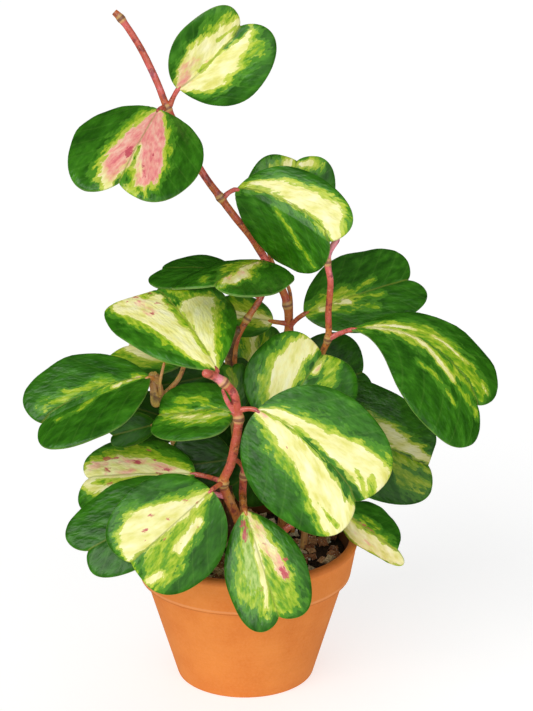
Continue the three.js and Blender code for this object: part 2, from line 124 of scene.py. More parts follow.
# Markings
# A streak cuts away the CUTS of its kind, and LIME_EDGE is how much lime shows round it. A thin streak
# counts as deeper, by up to THIN_GAIN, so that its torn edge doesn't break it up.
KINDS = ("lime", "cream", "pink", "crimson", "pale")
CUTS = {"green": ("cream", "pink", "pale", "lime"), "verge": ("cream", "pink", "pale")}
LIME_EDGE = {"verge": 1, "cream": 1.5, "pink": 1.5}
THIN_GAIN = 2.2
FAR = 9

# Stems
TUBE_SIDES = 20
PETIOLE_SIDES = 16
TUBE_STEP = 1.6
ROUTE_STEPS = 24
SHORT_TUBE = 12
CAP_SHARES = (0, 0.06, 0.25, 0.55, 1)
# The rings of a sawn end: how far past the tip, share of the radius, and how pale.
SAWN_TIP = ((-0.4, 1, 0), (0, 0.94, 0), (0, 0.72, 1), (-0.3, 0.4, 1), (-0.5, 0, 0.4))
TANGENT_REACH = 1.2
KNOT_SWELL = 0.34
KNOT_LENGTH = 2.4
PETIOLE_RADII = (2.1, 1.55)
PETIOLE_TAIL = 4.5

# Each stem's route of points, with its end radii. It swells at the numbered points, its nodes, and stubs
# are short cut side shoots.
STEMS = {
    "stem_tall": dict(
        radius=(3.1, 2.1),
        route=(
            (24, 24, 45), (25, 23, 95), (28, 18, 170), (29, 15, 236), (28, 15, 256), (24, 14, 268),
            (5, 8, 303), (-6, 5, 318), (-15, 4, 331), (-26, 2, 347), (-48, 0, 390), (-55, 0, 408),
            (-65, 0, 429), (-76, 0, 446), (-80, 0, 450),
        ),
        nodes=(3, 4, 8, 10, 13),
    ),
    "stem_thin": dict(
        radius=(1.4, 1.2),
        route=((31, 25, 45), (33, 25, 120), (31, 22, 240), (29, 20, 266), (20, 21, 280), (14, 22, 294)),
        nodes=(),
    ),
    "stem_middle": dict(
        radius=(2.4, 2),
        route=(
            (0, 12, 45), (0, 11, 95), (-5, 2, 170), (-7, -4, 221), (-5, -4, 238), (2, -3, 252),
            (11, 0, 266), (13, 1, 276),
        ),
        nodes=(5,),
    ),
    "stem_right": dict(
        radius=(2.4, 2),
        route=(
            (38, 4, 45), (40, 2, 95), (48, -8, 180), (50, -14, 230), (54, -18, 243), (54, -22, 263),
            (55, -24, 283), (53, -24, 296), (54, -23, 302), (60, -20, 311),
        ),
        nodes=(4, 7),
    ),
    "stem_front": dict(
        radius=(3.2, 2.8),
        route=(
            (2, -34, 45), (1, -38, 90), (-4, -50, 130), (-11, -60, 152), (-13, -64, 162), (-8, -68, 177),
            (-3, -72, 208), (-4, -72, 213), (-6, -74, 225), (-12, -76, 233), (-18, -78, 238),
            (-24, -86, 243),
        ),
        nodes=(4, 6, 9),
        stubs=(
            (((-5, -72, 212), (-10, -76, 221), (-13, -79, 230)), (2.2, 1)),
        ),
    ),
    "stem_low": dict(
        radius=(2.7, 2.4),
        route=((4, -26, 45), (3, -30, 95), (-1, -44, 145), (0, -47, 160), (2, -47, 171), (10, -46, 184)),
        nodes=(3,),
    ),
    "stem_left": dict(
        radius=(2.6, 2.2),
        route=((-24, -4, 45), (-25, -6, 95), (-40, -18, 150), (-54, -18, 201), (-57, -20, 220)),
        nodes=(3,),
        stubs=(
            (((-56, -19, 203), (-57, -19, 212), (-58, -18, 221)), (2.4, 1.6)),
            (((-54, -20, 203), (-54, -29, 217), (-51, -30, 231)), (1.2, 0.9)),
        ),
    ),
    "stem_rim": dict(
        radius=(2.6, 2.3),
        route=((16, -34, 45), (17, -38, 90), (24, -44, 118), (44, -40, 130), (54, -36, 131)),
        nodes=(3,),
    ),
}

# Each leaf's petiole runs from start, on its stem, to the blade's foot. notch is the cut at the far end,
# half the width left and right of the midrib, and face the way the upper side looks. fold, curl, arch,
# sway and twist bend the blade by degrees. lobe and full shape its outline, left and right.
LEAVES = {
    "leaf_crown_right": dict(
        stem="stem_tall", start=(-47, 0, 390), foot=(-41, -1, 402), notch=(-2, -6, 442),
        half=(25, 36), fold=(35, 0), lobe=(0.08, 0.2),
    ),
    "leaf_crown_left": dict(
        stem="stem_tall", start=(-49, 0, 390), foot=(-53, -7, 390), notch=(-75, -58, 356),
        face=(0.05, -0.57, 0.82), half=(42, 41), lobe=(0.1, 0.18), full=(0.9, 0.9),
    ),
    "leaf_high_right": dict(
        stem="stem_tall", start=(-14, 4, 330), foot=(-5, 1, 337), notch=(53, -30, 311),
        half=(31, 37), fold=(0, -30), curl=(-10, -20), full=(0.6, 0.6), sway=15,
    ),
    "leaf_high_back": dict(
        stem="stem_thin", start=(14, 22, 294), foot=(15, 22, 298), notch=(34, 34, 348),
        half=(28, 31), lobe=(0.03, 0.1), sway=-15,
    ),
    "leaf_shelf_front": dict(
        stem="stem_middle", start=(13, 1, 275), foot=(12, -4, 291), notch=(-17, -68, 294),
        face=(0, -0.1, 1), half=(37, 39), curl=(-10, -35), lobe=(0.12, 0.12),
    ),
    "leaf_shelf_left": dict(
        stem="stem_middle", start=(10, 0, 265), foot=(-11, 14, 279), notch=(-54, 30, 276),
        face=(0, -0.1, 1), half=(30, 30),
    ),
    "leaf_big_arch": dict(
        stem="stem_front", start=(-18, -78, 238), foot=(-16, -74, 240), notch=(-57, 2, 270),
        face=(0.1, -0.4, 0.9), half=(43, 40), lobe=(-0.04, 0.08), full=(0.2, 0.2), arch=40,
        sway=15,
    ),
    "leaf_far_left": dict(
        stem="stem_left", start=(-54, -18, 203), foot=(-60, -34, 222), notch=(-128, -52, 198),
        face=(0, -0.5, 0.8), half=(34, 35), fold=(15, 15), full=(0.5, 0.5),
    ),
    "leaf_left_back": dict(
        stem="stem_left", start=(-54, -18, 203), foot=(-40, -2, 221), notch=(-78, 30, 223),
        face=(0, -0.3, 0.95), half=(30, 30),
    ),
    "leaf_middle_left": dict(
        stem="stem_front", start=(-4, -72, 212), foot=(-6, -63, 207), notch=(-54, -44, 201),
        face=(0, -0.6, 0.6), half=(23, 24), fold=(20, 0), lobe=(0.03, 0.03), full=(1.1, 1.1),
    ),
    "leaf_upright": dict(
        stem="stem_low", start=(10, -46, 184), foot=(18, -46, 192), notch=(50, -24, 234),
        half=(37, 37), full=(1, 1),
    ),
    "leaf_big_front": dict(
        stem="stem_front", start=(-4, -72, 213), foot=(8, -76, 215), notch=(69, -98, 163),
        half=(47, 40), full=(0.95, 0.95),
    ),
    "leaf_right_back": dict(
        stem="stem_tall", start=(29, 15, 240), foot=(39, 10, 251), notch=(109, 40, 266),
        face=(0, -0.75, 0.65), half=(32, 27), lobe=(0.08, 0.11), full=(0.5, 0.7),
    ),
    "leaf_right_droop": dict(
        stem="stem_right", start=(54, -18, 243), foot=(69, -24, 251), notch=(147, -60, 213),
        face=(0.3, -0.5, 0.8), half=(36, 46), lobe=(0.04, 0.2), full=(0.3, -0.8), arch=70,
        sway=20,
    ),
    "leaf_right_dark": dict(
        stem="stem_right", start=(49, -10, 196), foot=(55, -8, 192), notch=(120, -26, 159),
        face=(-0.3, -0.8, 0.6), half=(34, 36), lobe=(0, 0.09), full=(1.8, 1.2), sway=-20,
    ),
    "leaf_low_right": dict(
        stem="stem_rim", start=(54, -36, 131), foot=(64, -34, 130), notch=(101, -24, 97),
        half=(22, 22), fold=(-35, -50), lobe=(0.02, 0.32), full=(0.7, 1.3),
        twist=10,
    ),
    "leaf_over_rim_front": dict(
        stem="stem_low", start=(-1, -44, 145), foot=(1, -70, 145), notch=(22, -104, 88),
        half=(27, 26), lobe=(0.06, 0.09), full=(0.3, 0.3),
    ),
    "leaf_over_rim_left": dict(
        stem="stem_front", start=(-13, -64, 162), foot=(-20, -74, 161), notch=(-70, -98, 122),
        half=(39, 34), lobe=(0.03, 0.06), full=(0.9, 0.9),
    ),
    "leaf_low_left": dict(
        stem="stem_front", start=(-11, -59, 150), foot=(-30, -66, 155), notch=(-98, -84, 124),
        face=(0, -0.7, 0.7), half=(27, 32), lobe=(0.06, 0.12),
    ),
    "leaf_low_left_back": dict(
        stem="stem_front", start=(-13, -64, 162), foot=(-31, -50, 162), notch=(-101, -36, 154),
        face=(-0.35, -0.55, 0.75), half=(32, 29),
    ),
    "leaf_small_dark": dict(
        stem="stem_left", start=(-50, -18, 186), foot=(-57, -30, 189), notch=(-84, -40, 185),
        half=(10, 12),
    ),
    "leaf_behind_stem": dict(
        stem="stem_tall", start=(29, 15, 243), foot=(19, 13, 245), notch=(-15, 24, 248),
        half=(14, 14),
    ),
    "leaf_back_right": dict(
        stem="stem_tall", start=(28, 18, 190), foot=(32, 30, 187), notch=(79, 36, 202),
        half=(34, 28),
    ),
    "leaf_back_middle": dict(
        stem="stem_tall", start=(27, 19, 180), foot=(11, 26, 197), notch=(9, 40, 230),
        half=(17, 17),
    ),
    "leaf_inner": dict(
        stem="stem_middle", start=(-6, 0, 190), foot=(-5, -34, 199), notch=(-8, -22, 225),
        half=(12, 12),
    ),
    "leaf_inner_left": dict(
        stem="stem_left", start=(-48, -18, 180), foot=(-38, -10, 182), notch=(-74, 0, 190),
        half=(22, 14),
    ),
    "leaf_inner_low": dict(
        stem="stem_low", start=(0, -47, 160), foot=(-7, -28, 164), notch=(-42, -31, 160),
        half=(19, 22),
    ),
    "leaf_inner_right": dict(
        stem="stem_right", start=(47, -6, 168), foot=(30, -22, 174), notch=(-8, -20, 142),
        half=(24, 23),
    ),
    "leaf_inner_high": dict(
        stem="stem_middle", start=(-7, -2, 205), foot=(-20, 8, 210), notch=(-60, 4, 203),
        half=(16, 13), face=(0, -0.95, 0.1),
    ),
    "leaf_inner_back": dict(
        stem="stem_middle", start=(-4, 5, 148), foot=(-8, 14, 152), notch=(-12, 20, 212),
        half=(22, 20),
    ),
    "leaf_rear_middle": dict(
        stem="stem_tall", start=(27, 19, 150), foot=(21, 38, 160), notch=(2, 66, 203),
        face=(0, 0.8, 0.6), half=(28, 28),
    ),
    "leaf_rear_right": dict(
        stem="stem_right", start=(41, 1, 112), foot=(52, 22, 124), notch=(88, 54, 146),
        face=(0.3, 0.7, 0.6), half=(29, 28),
    ),
    "leaf_rear_left": dict(
        stem="stem_left", start=(-31, -11, 118), foot=(-44, 14, 132), notch=(-78, 48, 152),
        face=(-0.3, 0.7, 0.6), half=(27, 28),
    ),
    "leaf_rear_low": dict(
        stem="stem_middle", start=(-2, 7, 130), foot=(-8, 30, 136), notch=(-22, 78, 124),
        face=(0, 0.5, 0.85), half=(26, 25),
    ),
}

# Each leaf's markings. A band is a list of (t, left, right): t runs 0 to 1 from the foot to the notch,
# left and right from -1 to 1 across the leaf. A streak is (kind, from across, from t, to across, to t,
# width in mm). A green streak cuts through every band, and a verge is lime laid over the cream. midrib
# says how far the real midrib lies off the middle, at foot and notch. A last factor on a leaf's colour is
# painted light and shade: it darkens a leaf lying in the shade of the others, and brightens one whose face
# lies turned from the light.
MARKINGS = {
    "crown_right": dict(
        midrib=(0.08, 0.08),
        cream=((0, -0.45, 0.3), (0.3, -0.48, 0.45), (0.6, -0.5, 0.5), (0.7, -0.4, 0.45),
            (0.8, -0.5, 0.45), (1, -0.5, 0.4)),
        lime=((0, -0.5, 0.45), (0.3, -0.54, 0.55), (0.6, -0.58, 0.6), (0.72, -0.7, 0.62),
            (0.8, -0.78, 0.8), (0.9, -0.8, 0.62), (1, -0.8, 0.55)),
        pink=((0, -0.5, 0.35), (0.15, -0.55, 0.2), (0.3, -0.5, 0), (0.42, -0.35, -0.1)),
        streaks=(("verge", 0.08, 0.4, 0.1, 0.78, 2.6), ("green", 0.12, 0.74, 0.16, 0.9, 4),
            ("green", 0.14, 0.88, 0.2, 1, 8), ("lime", -0.5, 0.62, -0.2, 0.72, 2),
            ("verge", -0.2, 0.72, -0.22, 0.95, 2.4), ("pink", 0.02, 0.46, 0.04, 0.54, 2)),
    ),
    "crown_left": dict(
        cream=((0.06, -0.2, 0.12), (0.3, -0.28, 0.18), (0.5, -0.34, 0.26), (0.67, -0.52, 0.38),
            (0.83, -0.64, 0.5), (0.92, -0.66, 0.55), (1, -0.66, 0.5)),
        lime=((0, -0.3, 0.25), (0.3, -0.38, 0.36), (0.5, -0.46, 0.38), (0.67, -0.6, 0.46),
            (0.83, -0.74, 0.58), (1, -0.76, 0.6)),
        pink=((0, -0.4, 0.3), (0.3, -0.45, 0.3), (0.5, -0.5, 0.35), (0.67, -0.75, 0.45),
            (0.85, -0.8, 0.5), (0.95, -0.7, 0.4)),
        streaks=(("green", -0.04, 0.6, -0.08, 0.8, 1.8), ("green", -0.1, 0.78, -0.12, 0.9, 4),
            ("green", -0.14, 0.88, -0.14, 1, 9), ("verge", -0.2, 0.84, -0.42, 0.94, 5),
            ("green", -0.2, 0.92, -0.4, 1, 3), ("verge", -0.6, 0.92, -0.7, 1, 5),
            ("crimson", 0.07, 0.66, 0.1, 0.73, 4.4), ("crimson", -0.3, 0.74, -0.33, 0.77, 2.4),
            ("crimson", -0.1, 0.5, -0.12, 0.53, 1.6), ("crimson", -0.3, 0.6, -0.3, 0.62, 1.8),
            ("crimson", -0.45, 0.8, -0.46, 0.82, 1.8)),
    ),
    "high_right": dict(
        midrib=(-0.2, -0.24),
        cream=((0.15, -0.42, -0.34), (0.4, -0.55, -0.25), (0.6, -0.7, -0.24), (0.7, -0.78, -0.33),
            (0.8, -0.8, -0.38), (0.9, -0.65, -0.34), (1, -0.62, -0.34)),
        lime=((0, -0.5, -0.2), (0.3, -0.6, -0.22), (0.5, -0.7, -0.2), (0.7, -0.92, -0.2),
            (0.9, -0.95, -0.2), (1, -0.85, -0.15)),
        streaks=(("lime", 0, 0.5, 0.3, 0.65, 2.2), ("lime", 0.3, 0.65, 0.85, 0.85, 1.6),
            ("crimson", -0.6, 0.62, -0.6, 0.63, 1.2), ("crimson", -0.45, 0.52, -0.45, 0.53, 1)),
    ),
    "high_back": dict(
        cream=((0.7, -0.4, -0.2), (1, -0.42, -0.2)),
        lime=((0.2, -0.3, 0.2), (0.75, -0.75, 0.1), (1, -0.75, 0.1)),
        streaks=(("cream", 0.3, 0.93, 0.6, 0.9, 3), ("lime", 0.25, 0.9, 0.7, 0.9, 8)),
    ),
    "shelf_front": dict(
        cream=((0.25, -0.15, -0.02), (0.6, -0.18, -0.02), (0.66, -0.42, -0.1), (0.88, -0.42, -0.12)),
        lime=((0.05, -0.2, 0.2), (0.5, -0.24, 0.26), (0.66, -0.5, 0.26), (0.78, -0.5, 0.1),
            (0.95, -0.5, 0)),
        pink=((0.66, -0.25, -0.05), (0.83, -0.25, -0.05)),
        streaks=(("lime", 0.42, 0.78, 0.42, 0.92, 4.5), ("green", 0.02, 0.72, 0.05, 1, 3),
            ("lime", -0.45, 0.85, -0.3, 1, 5), ("pale", -0.4, 0.9, -0.35, 0.98, 2.4)),
    ),
    "shelf_left": dict(painted_light=0.9),
    "big_arch": dict(
        midrib=(0.05, 0.05),
        cream=((0, -0.35, 0.25), (0.2, -0.4, 0.26), (0.4, -0.42, 0.45), (0.5, -0.5, 0.62),
            (0.57, -0.65, 0.75), (0.64, -0.85, 0.6), (0.7, -0.9, 0.14), (0.88, -0.9, -0.05),
            (0.95, -0.6, -0.3)),
        lime=((0, -0.5, 0.45), (0.2, -0.52, 0.6), (0.4, -0.56, 0.66), (0.5, -0.66, 0.82),
            (0.6, -0.88, 0.86), (0.7, -0.97, 0.52), (0.85, -0.97, 0.5), (0.92, -0.95, 0.1), (1, -0.9, 0)),
        streaks=(("crimson", -0.6, 0.88, -0.66, 0.9, 3), ("crimson", -0.3, 0.92, -0.36, 0.93, 2.4),
            ("crimson", -0.7, 0.78, -0.73, 0.79, 2), ("crimson", -0.2, 0.74, -0.23, 0.76, 2.4),
            ("crimson", -0.05, 0.73, -0.06, 0.74, 1.6), ("crimson", -0.35, 0.6, -0.38, 0.62, 2),
            ("pink", -0.38, 0.6, -0.5, 0.78, 6.5), ("pink", -0.62, 0.86, -0.7, 0.9, 5),
            ("verge", 0.03, 0.2, 0.02, 0.5, 3), ("verge", 0, 0.5, -0.02, 0.8, 6.5),
            ("green", 0.12, 0.7, 0.14, 1, 7), ("green", -0.1, 0.9, -0.12, 1, 5),
            ("verge", -0.4, 0.84, -0.62, 0.96, 5), ("green", -0.3, 0.88, -0.5, 0.98, 3),
            ("verge", 0.5, 0.3, 0.6, 0.5, 2.5)),
        painted_light=1.18,
    ),
    "far_left": dict(
        midrib=(0.16, 0.16),
        streaks=(("lime", 0.2, 0.08, 0.06, 0.5, 2.6), ("lime", 0.06, 0.5, -0.18, 0.68, 2.6),
            ("lime", -0.18, 0.68, -0.26, 0.85, 1.8), ("lime", 0.22, 0.38, 0.28, 0.6, 5),
            ("lime", 0.28, 0.6, 0.46, 0.86, 5), ("pink", 0.26, 0.08, 0.26, 0.18, 1.6),
            ("cream", 0.16, 0.14, 0.08, 0.4, 0.9)),
        painted_light=0.95,
    ),
    "left_back": dict(
        cream=((0.1, -0.2, 0.25), (0.5, -0.35, 0.4), (1, -0.35, 0.45)),
        lime=((0, -0.4, 0.4), (0.5, -0.7, 0.6), (1, -0.8, 0.7)),
    ),
    "middle_left": dict(
        midrib=(0.3, -0.15),
        pale=((0.12, -0.12, 0.22), (0.3, -0.22, 0.06), (0.42, -0.36, -0.1), (0.6, -0.36, -0.12),
            (0.9, -0.34, -0.14)),
        cream=((0.3, -0.14, -0.08), (0.5, -0.24, -0.18), (0.7, -0.26, -0.2)),
        lime=((0, -0.25, 0.35), (0.3, -0.42, 0.16), (0.55, -0.46, 0.06), (0.65, -0.46, 0.22),
            (0.8, -0.45, 0.2), (0.96, -0.4, 0.02)),
        streaks=(("lime", 0.38, 0.46, 0.45, 0.72, 5),),
    ),
    "upright": dict(
        cream=((0.3, -0.4, -0.25), (0.42, -0.45, -0.22), (0.5, -0.55, -0.12), (0.7, -0.65, -0.25),
            (0.8, -0.7, -0.3), (1, -0.8, -0.35)),
        lime=((0.1, -0.5, 0), (0.4, -0.7, 0), (0.6, -0.76, 0), (0.8, -0.82, -0.16), (1, -0.9, -0.25)),
        streaks=(("cream", 0.12, 0.8, 0.16, 1, 2.6), ("pink", 0.12, 0.84, 0.15, 1, 2.4),
            ("lime", 0.4, 0.7, 0.46, 0.95, 9), ("green", -0.1, 0.8, -0.1, 1, 5),
            ("green", -0.04, 0.5, -0.06, 0.8, 1.8)),
        painted_light=1.12,
    ),
    "big_front": dict(
        midrib=(-0.16, -0.16),
        cream=((0, -0.3, 0.1), (0.3, -0.35, 0.1), (0.4, -0.38, 0.14), (0.5, -0.42, 0.2),
            (0.6, -0.52, 0.26), (0.7, -0.68, 0.5), (0.8, -0.82, 0.8), (0.9, -0.95, 1), (1, -1.02, 1.02)),
        lime=((0, -0.4, 0.25), (0.3, -0.45, 0.34), (0.5, -0.52, 0.36), (0.6, -0.62, 0.42),
            (0.7, -0.78, 0.66), (0.8, -0.92, 0.92), (0.9, -1.05, 1.06), (1, -1.1, 1.1)),
        streaks=(("verge", -0.16, 0.08, -0.16, 0.4, 2.4), ("green", -0.16, 0.28, -0.165, 0.5, 2.6),
            ("verge", -0.17, 0.4, -0.18, 0.62, 7), ("green", -0.165, 0.48, -0.175, 0.72, 5.5),
            ("green", -0.175, 0.7, -0.18, 0.88, 9), ("green", -0.18, 0.86, -0.16, 1, 11),
            ("verge", -0.62, 0.86, -0.6, 1, 6), ("verge", -0.42, 0.8, -0.48, 0.97, 4),
            ("verge", 0.5, 0.74, 0.8, 0.9, 3), ("pink", -0.05, 0.03, -0.05, 0.14, 2.4),
            ("crimson", -0.5, 0.55, -0.5, 0.555, 0.9), ("crimson", 0.1, 0.42, 0.1, 0.425, 0.9),
            ("crimson", -0.4, 0.72, -0.4, 0.725, 0.8)),
    ),
    "right_back": dict(
        cream=((0.2, 0.02, 0.1), (0.46, 0.02, 0.12)),
        lime=((0, -0.3, 0.15), (0.15, -0.34, 0.18), (0.4, -0.28, 0.2), (0.52, -0.16, 0.14)),
        streaks=(("lime", 0, 0.45, -0.26, 0.68, 2.6), ("lime", 0.02, 0.5, 0.22, 0.7, 3),
            ("lime", 0.08, 0.36, 0.5, 0.58, 2.6), ("cream", 0.1, 0.42, 0.2, 0.46, 1.4),
            ("lime", 0.2, 0.3, 0.4, 0.42, 1.4)),
    ),
    "right_droop": dict(
        midrib=(-0.12, -0.12),
        lime=((0.05, -0.2, 0), (0.2, -0.36, 0.04), (0.35, -0.5, 0.04), (0.5, -0.52, 0.05),
            (0.65, -0.48, 0.12), (0.8, -0.52, 0.14), (0.92, -0.6, 0)),
        streaks=(("cream", -0.05, 0.16, -0.09, 0.5, 2.8), ("cream", -0.08, 0.5, 0.05, 0.62, 2.6),
            ("cream", 0.05, 0.62, 0.2, 0.76, 2.2), ("lime", 0.2, 0.76, 0.4, 0.95, 3),
            ("lime", -0.3, 0.5, -0.34, 0.72, 2.4), ("lime", -0.34, 0.72, -0.55, 0.9, 5),
            ("lime", -0.2, 0.7, -0.3, 0.9, 2.6), ("cream", -0.5, 0.86, -0.62, 0.92, 1.4),
            ("lime", 0.3, 0.5, 0.5, 0.75, 2.2), ("green", -0.14, 0.5, -0.18, 0.95, 3.4),
            ("cream", -0.22, 0.2, -0.3, 0.42, 2), ("cream", -0.34, 0.5, -0.4, 0.72, 1.8)),
    ),
    "right_dark": dict(
        cream=((0.42, -0.3, -0.12), (0.55, -0.36, -0.1), (1, -0.36, -0.1)),
        lime=((0.3, -0.4, 0), (0.66, -0.46, 0), (0.75, -0.46, 0.75), (0.9, -0.5, 0.8), (1, -0.45, 0.7)),
        streaks=(("green", -0.04, 0.6, -0.04, 1, 2.4), ("green", 0.3, 0.76, 0.5, 0.98, 3)),
        painted_light=0.62,
    ),
    "low_right": dict(
        cream=((0, 0.1, 0.8), (0.6, 0.1, 0.84), (1, 0.1, 0.8)),
        lime=((0, -0.16, 1), (1, -0.16, 1.05)),
        streaks=(("lime", -0.27, 0.35, -0.25, 0.62, 1.8), ("crimson", -0.05, 0.1, -0.05, 0.6, 0.9),
            ("pink", 0.5, 0.45, 0.5, 0.7, 2)),
    ),
    "over_rim_front": dict(
        cream=((0.03, -0.35, -0.02), (0.35, -0.36, -0.05), (0.45, -0.42, -0.12), (0.58, -0.52, -0.28),
            (0.64, -0.5, -0.38)),
        lime=((0, -0.42, 0.3), (0.2, -0.42, 0.42), (0.4, -0.5, 0.6), (0.58, -0.62, 0.85),
            (0.75, -0.72, 0.62), (0.9, -0.68, 0.4)),
        pale=((0.1, 0.02, 0.24), (0.4, 0.06, 0.38), (0.62, 0.12, 0.44), (0.72, 0.2, 0.36)),
        pink=((0.05, -0.34, -0.08), (0.35, -0.36, -0.12), (0.5, -0.4, -0.2)),
        streaks=(("cream", 0, 0.38, 0.05, 0.6, 3), ("cream", 0.05, 0.6, 0.15, 0.75, 3),
            ("cream", 0.15, 0.75, 0.32, 0.85, 2.4), ("crimson", -0.42, 0.58, -0.48, 0.62, 4.6),
            ("pink", -0.4, 0.5, -0.46, 0.64, 7), ("crimson", -0.54, 0.49, -0.56, 0.51, 2.6),
            ("crimson", -0.2, 0.49, -0.2, 0.5, 1.6), ("crimson", -0.2, 0.39, -0.21, 0.4, 1.6),
            ("crimson", 0.22, 0.22, 0.28, 0.3, 3.2), ("pink", 0.2, 0.2, 0.26, 0.34, 5),
            ("crimson", 0.34, 0.14, 0.36, 0.18, 3), ("crimson", 0.2, 0.71, 0.21, 0.72, 2)),
    ),
    "over_rim_left": dict(
        cream=((0.05, -0.03, 0.12), (0.2, -0.03, 0.15), (0.35, -0.03, 0.25), (0.5, -0.03, 0.45),
            (0.6, -0.03, 0.65), (0.7, -0.02, 0.7), (0.85, 0.02, 0.6), (0.95, 0.04, 0.5)),
        lime=((0, -0.15, 0.3), (0.1, -0.16, 0.3), (0.3, -0.3, 0.36), (0.45, -0.4, 0.52),
            (0.6, -0.6, 0.76), (0.75, -0.76, 0.8), (0.92, -0.95, 0.66), (1, -0.9, 0.55)),
        streaks=(("cream", -0.26, 0.36, -0.36, 0.6, 5), ("cream", -0.6, 0.78, -0.72, 0.9, 5),
            ("green", -0.12, 0.93, -0.6, 0.96, 6), ("green", -0.03, 0.6, -0.03, 0.95, 2),
            ("crimson", 0, 0.24, 0.01, 0.26, 1.6), ("crimson", 0.2, 0.32, 0.21, 0.34, 2.2),
            ("crimson", 0.15, 0.53, 0.16, 0.55, 2), ("crimson", 0.4, 0.56, 0.42, 0.58, 2.4),
            ("crimson", 0.3, 0.69, 0.32, 0.71, 2.2), ("crimson", 0.2, 0.76, 0.21, 0.77, 1.4),
            ("crimson", -0.3, 0.39, -0.31, 0.41, 1.8), ("crimson", -0.1, 0.65, -0.11, 0.67, 1.4)),
    ),
    "low_left": dict(painted_light=0.95),
    "low_left_back": dict(
        cream=((0.08, -0.14, 0.14), (0.3, -0.16, 0.24), (0.4, -0.16, 0.3), (0.5, -0.2, 0.44),
            (0.67, -0.4, 0.52), (0.85, -0.55, 0.6), (1, -0.5, 0.62)),
        lime=((0, -0.25, 0.3), (0.2, -0.25, 0.5), (0.4, -0.28, 0.62), (0.5, -0.32, 0.75),
            (0.7, -0.52, 0.76), (0.85, -0.68, 0.76), (1, -0.6, 0.72)),
        streaks=(("crimson", 0, 0.39, 0.01, 0.42, 2.4), ("crimson", 0.1, 0.32, 0.11, 0.35, 2.2),
            ("crimson", 0.3, 0.54, 0.33, 0.57, 3), ("crimson", 0.54, 0.74, 0.58, 0.77, 3),
            ("crimson", 0.2, 0.79, 0.24, 0.82, 2.6), ("crimson", 0.5, 0.68, 0.51, 0.7, 2.2),
            ("crimson", 0.6, 0.44, 0.62, 0.47, 2.2), ("crimson", -0.2, 0.58, -0.22, 0.6, 1.8),
            ("verge", -0.1, 0.5, -0.3, 0.9, 4), ("pink", 0.12, 0.28, 0.2, 0.42, 6),
            ("pink", 0.34, 0.52, 0.4, 0.66, 7), ("pink", 0.5, 0.78, 0.5, 0.9, 7),
            ("pink", 0.06, 0.6, 0.1, 0.84, 4), ("crimson", -0.25, 0.74, -0.28, 0.76, 2.4),
            ("crimson", 0.35, 0.42, 0.36, 0.44, 1.8)),
    ),
    "small_dark": dict(painted_light=0.8),
    "behind_stem": dict(
        cream=((0.05, -0.1, 0.2), (1, -0.15, 0.25)),
        lime=((0, -0.3, 0.35), (1, -0.4, 0.45)),
        streaks=(("pink", 0.45, 0.55, 0.55, 0.7, 6),),
    ),
    "back_right": dict(painted_light=0.75),
    "back_middle": dict(
        lime=((0, -0.6, 0.5), (1, -0.7, 0.6)),
        cream=((0.3, -0.4, -0.1), (1, -0.45, -0.1)),
        streaks=(("green", 0.1, 0.2, 0.1, 1, 3),),
    ),
    "inner": dict(lime=((0.1, -0.15, 0.15), (0.9, -0.2, 0.2)), painted_light=0.7),
    "inner_left": dict(painted_light=0.5),
    "inner_right": dict(painted_light=0.5),
    "inner_high": dict(painted_light=0.55),
    "inner_back": dict(painted_light=0.5),
    "inner_low": dict(painted_light=0.5),
    "rear_middle": dict(
        cream=((0.05, -0.3, 0.2), (0.5, -0.45, 0.4), (0.9, -0.7, 0.3), (1, -0.7, 0.2)),
        lime=((0, -0.4, 0.3), (0.5, -0.6, 0.55), (1, -0.85, 0.5)),
        pink=((0.05, -0.25, 0.15), (0.4, -0.2, 0.1)),
        streaks=(("green", -0.05, 0.6, -0.05, 1, 3), ("crimson", 0.2, 0.5, 0.22, 0.53, 2)),
    ),
    "rear_right": dict(
        cream=((0.1, -0.2, 0.3), (0.6, -0.3, 0.55), (1, -0.2, 0.8)),
        lime=((0, -0.3, 0.4), (0.6, -0.45, 0.7), (1, -0.4, 0.9)),
        streaks=(("green", 0.02, 0.5, 0.02, 1, 2.4),),
    ),
    "rear_left": dict(
        lime=((0.1, -0.15, 0.2), (0.5, -0.3, 0.3), (0.8, -0.5, 0.2)),
        streaks=(("cream", -0.02, 0.15, -0.15, 0.7, 4), ("lime", 0.3, 0.4, 0.6, 0.8, 4)),
    ),
    "rear_low": dict(
        cream=((0.1, -0.12, 0.15), (0.6, -0.3, 0.2), (0.9, -0.4, 0.1)),
        lime=((0, -0.25, 0.3), (0.6, -0.5, 0.4), (1, -0.55, 0.3)),
        painted_light=0.85,
    ),
}

# How young each stem looks at its foot and at its tip: 0 is old and brown, 0.2 yellow, 0.5 orange-brown and
# 1 fresh and coral. A third number holds the young look back to the tip.
STEM_AGES = {
    "stem_tall": (0.45, 0.8), "stem_thin": (0.34, 0.5), "stem_middle": (0.56, 0.64),
    "stem_right": (0.4, 1.1, 5), "stem_front": (0.46, 0.92, 2.2), "stem_low": (0.45, 0.68),
    "stem_left": (0.2, 0.32), "stem_rim": (0.45, 0.68),
}

# Cut old vines and swollen bark, too small for the solids: route, end radii and age.
OLD_WOOD = {
    "stem_middle": (
        (((-10, 13, 84), (-11, 13, 110), (-10, 12, 134)), (4.2, 3.6), 0.08),
        (((-19, 10, 84), (-20, 9, 108), (-18, 9, 132)), (3.7, 3.3), 0.06),
        (((-3, 7, 148), (-6, 1, 172), (-8, -3, 200), (-10, -4, 222), (-8, -4, 237), (-3, -4, 247)),
         (3.2, 2.8), 0.08),
    ),
    "stem_left": ((((-57, -20, 197), (-58, -20, 209), (-60, -19, 221)), (3.8, 2.8), 0.28),),
}


def mixed(a, b, share):
    return a + (b - a) * share


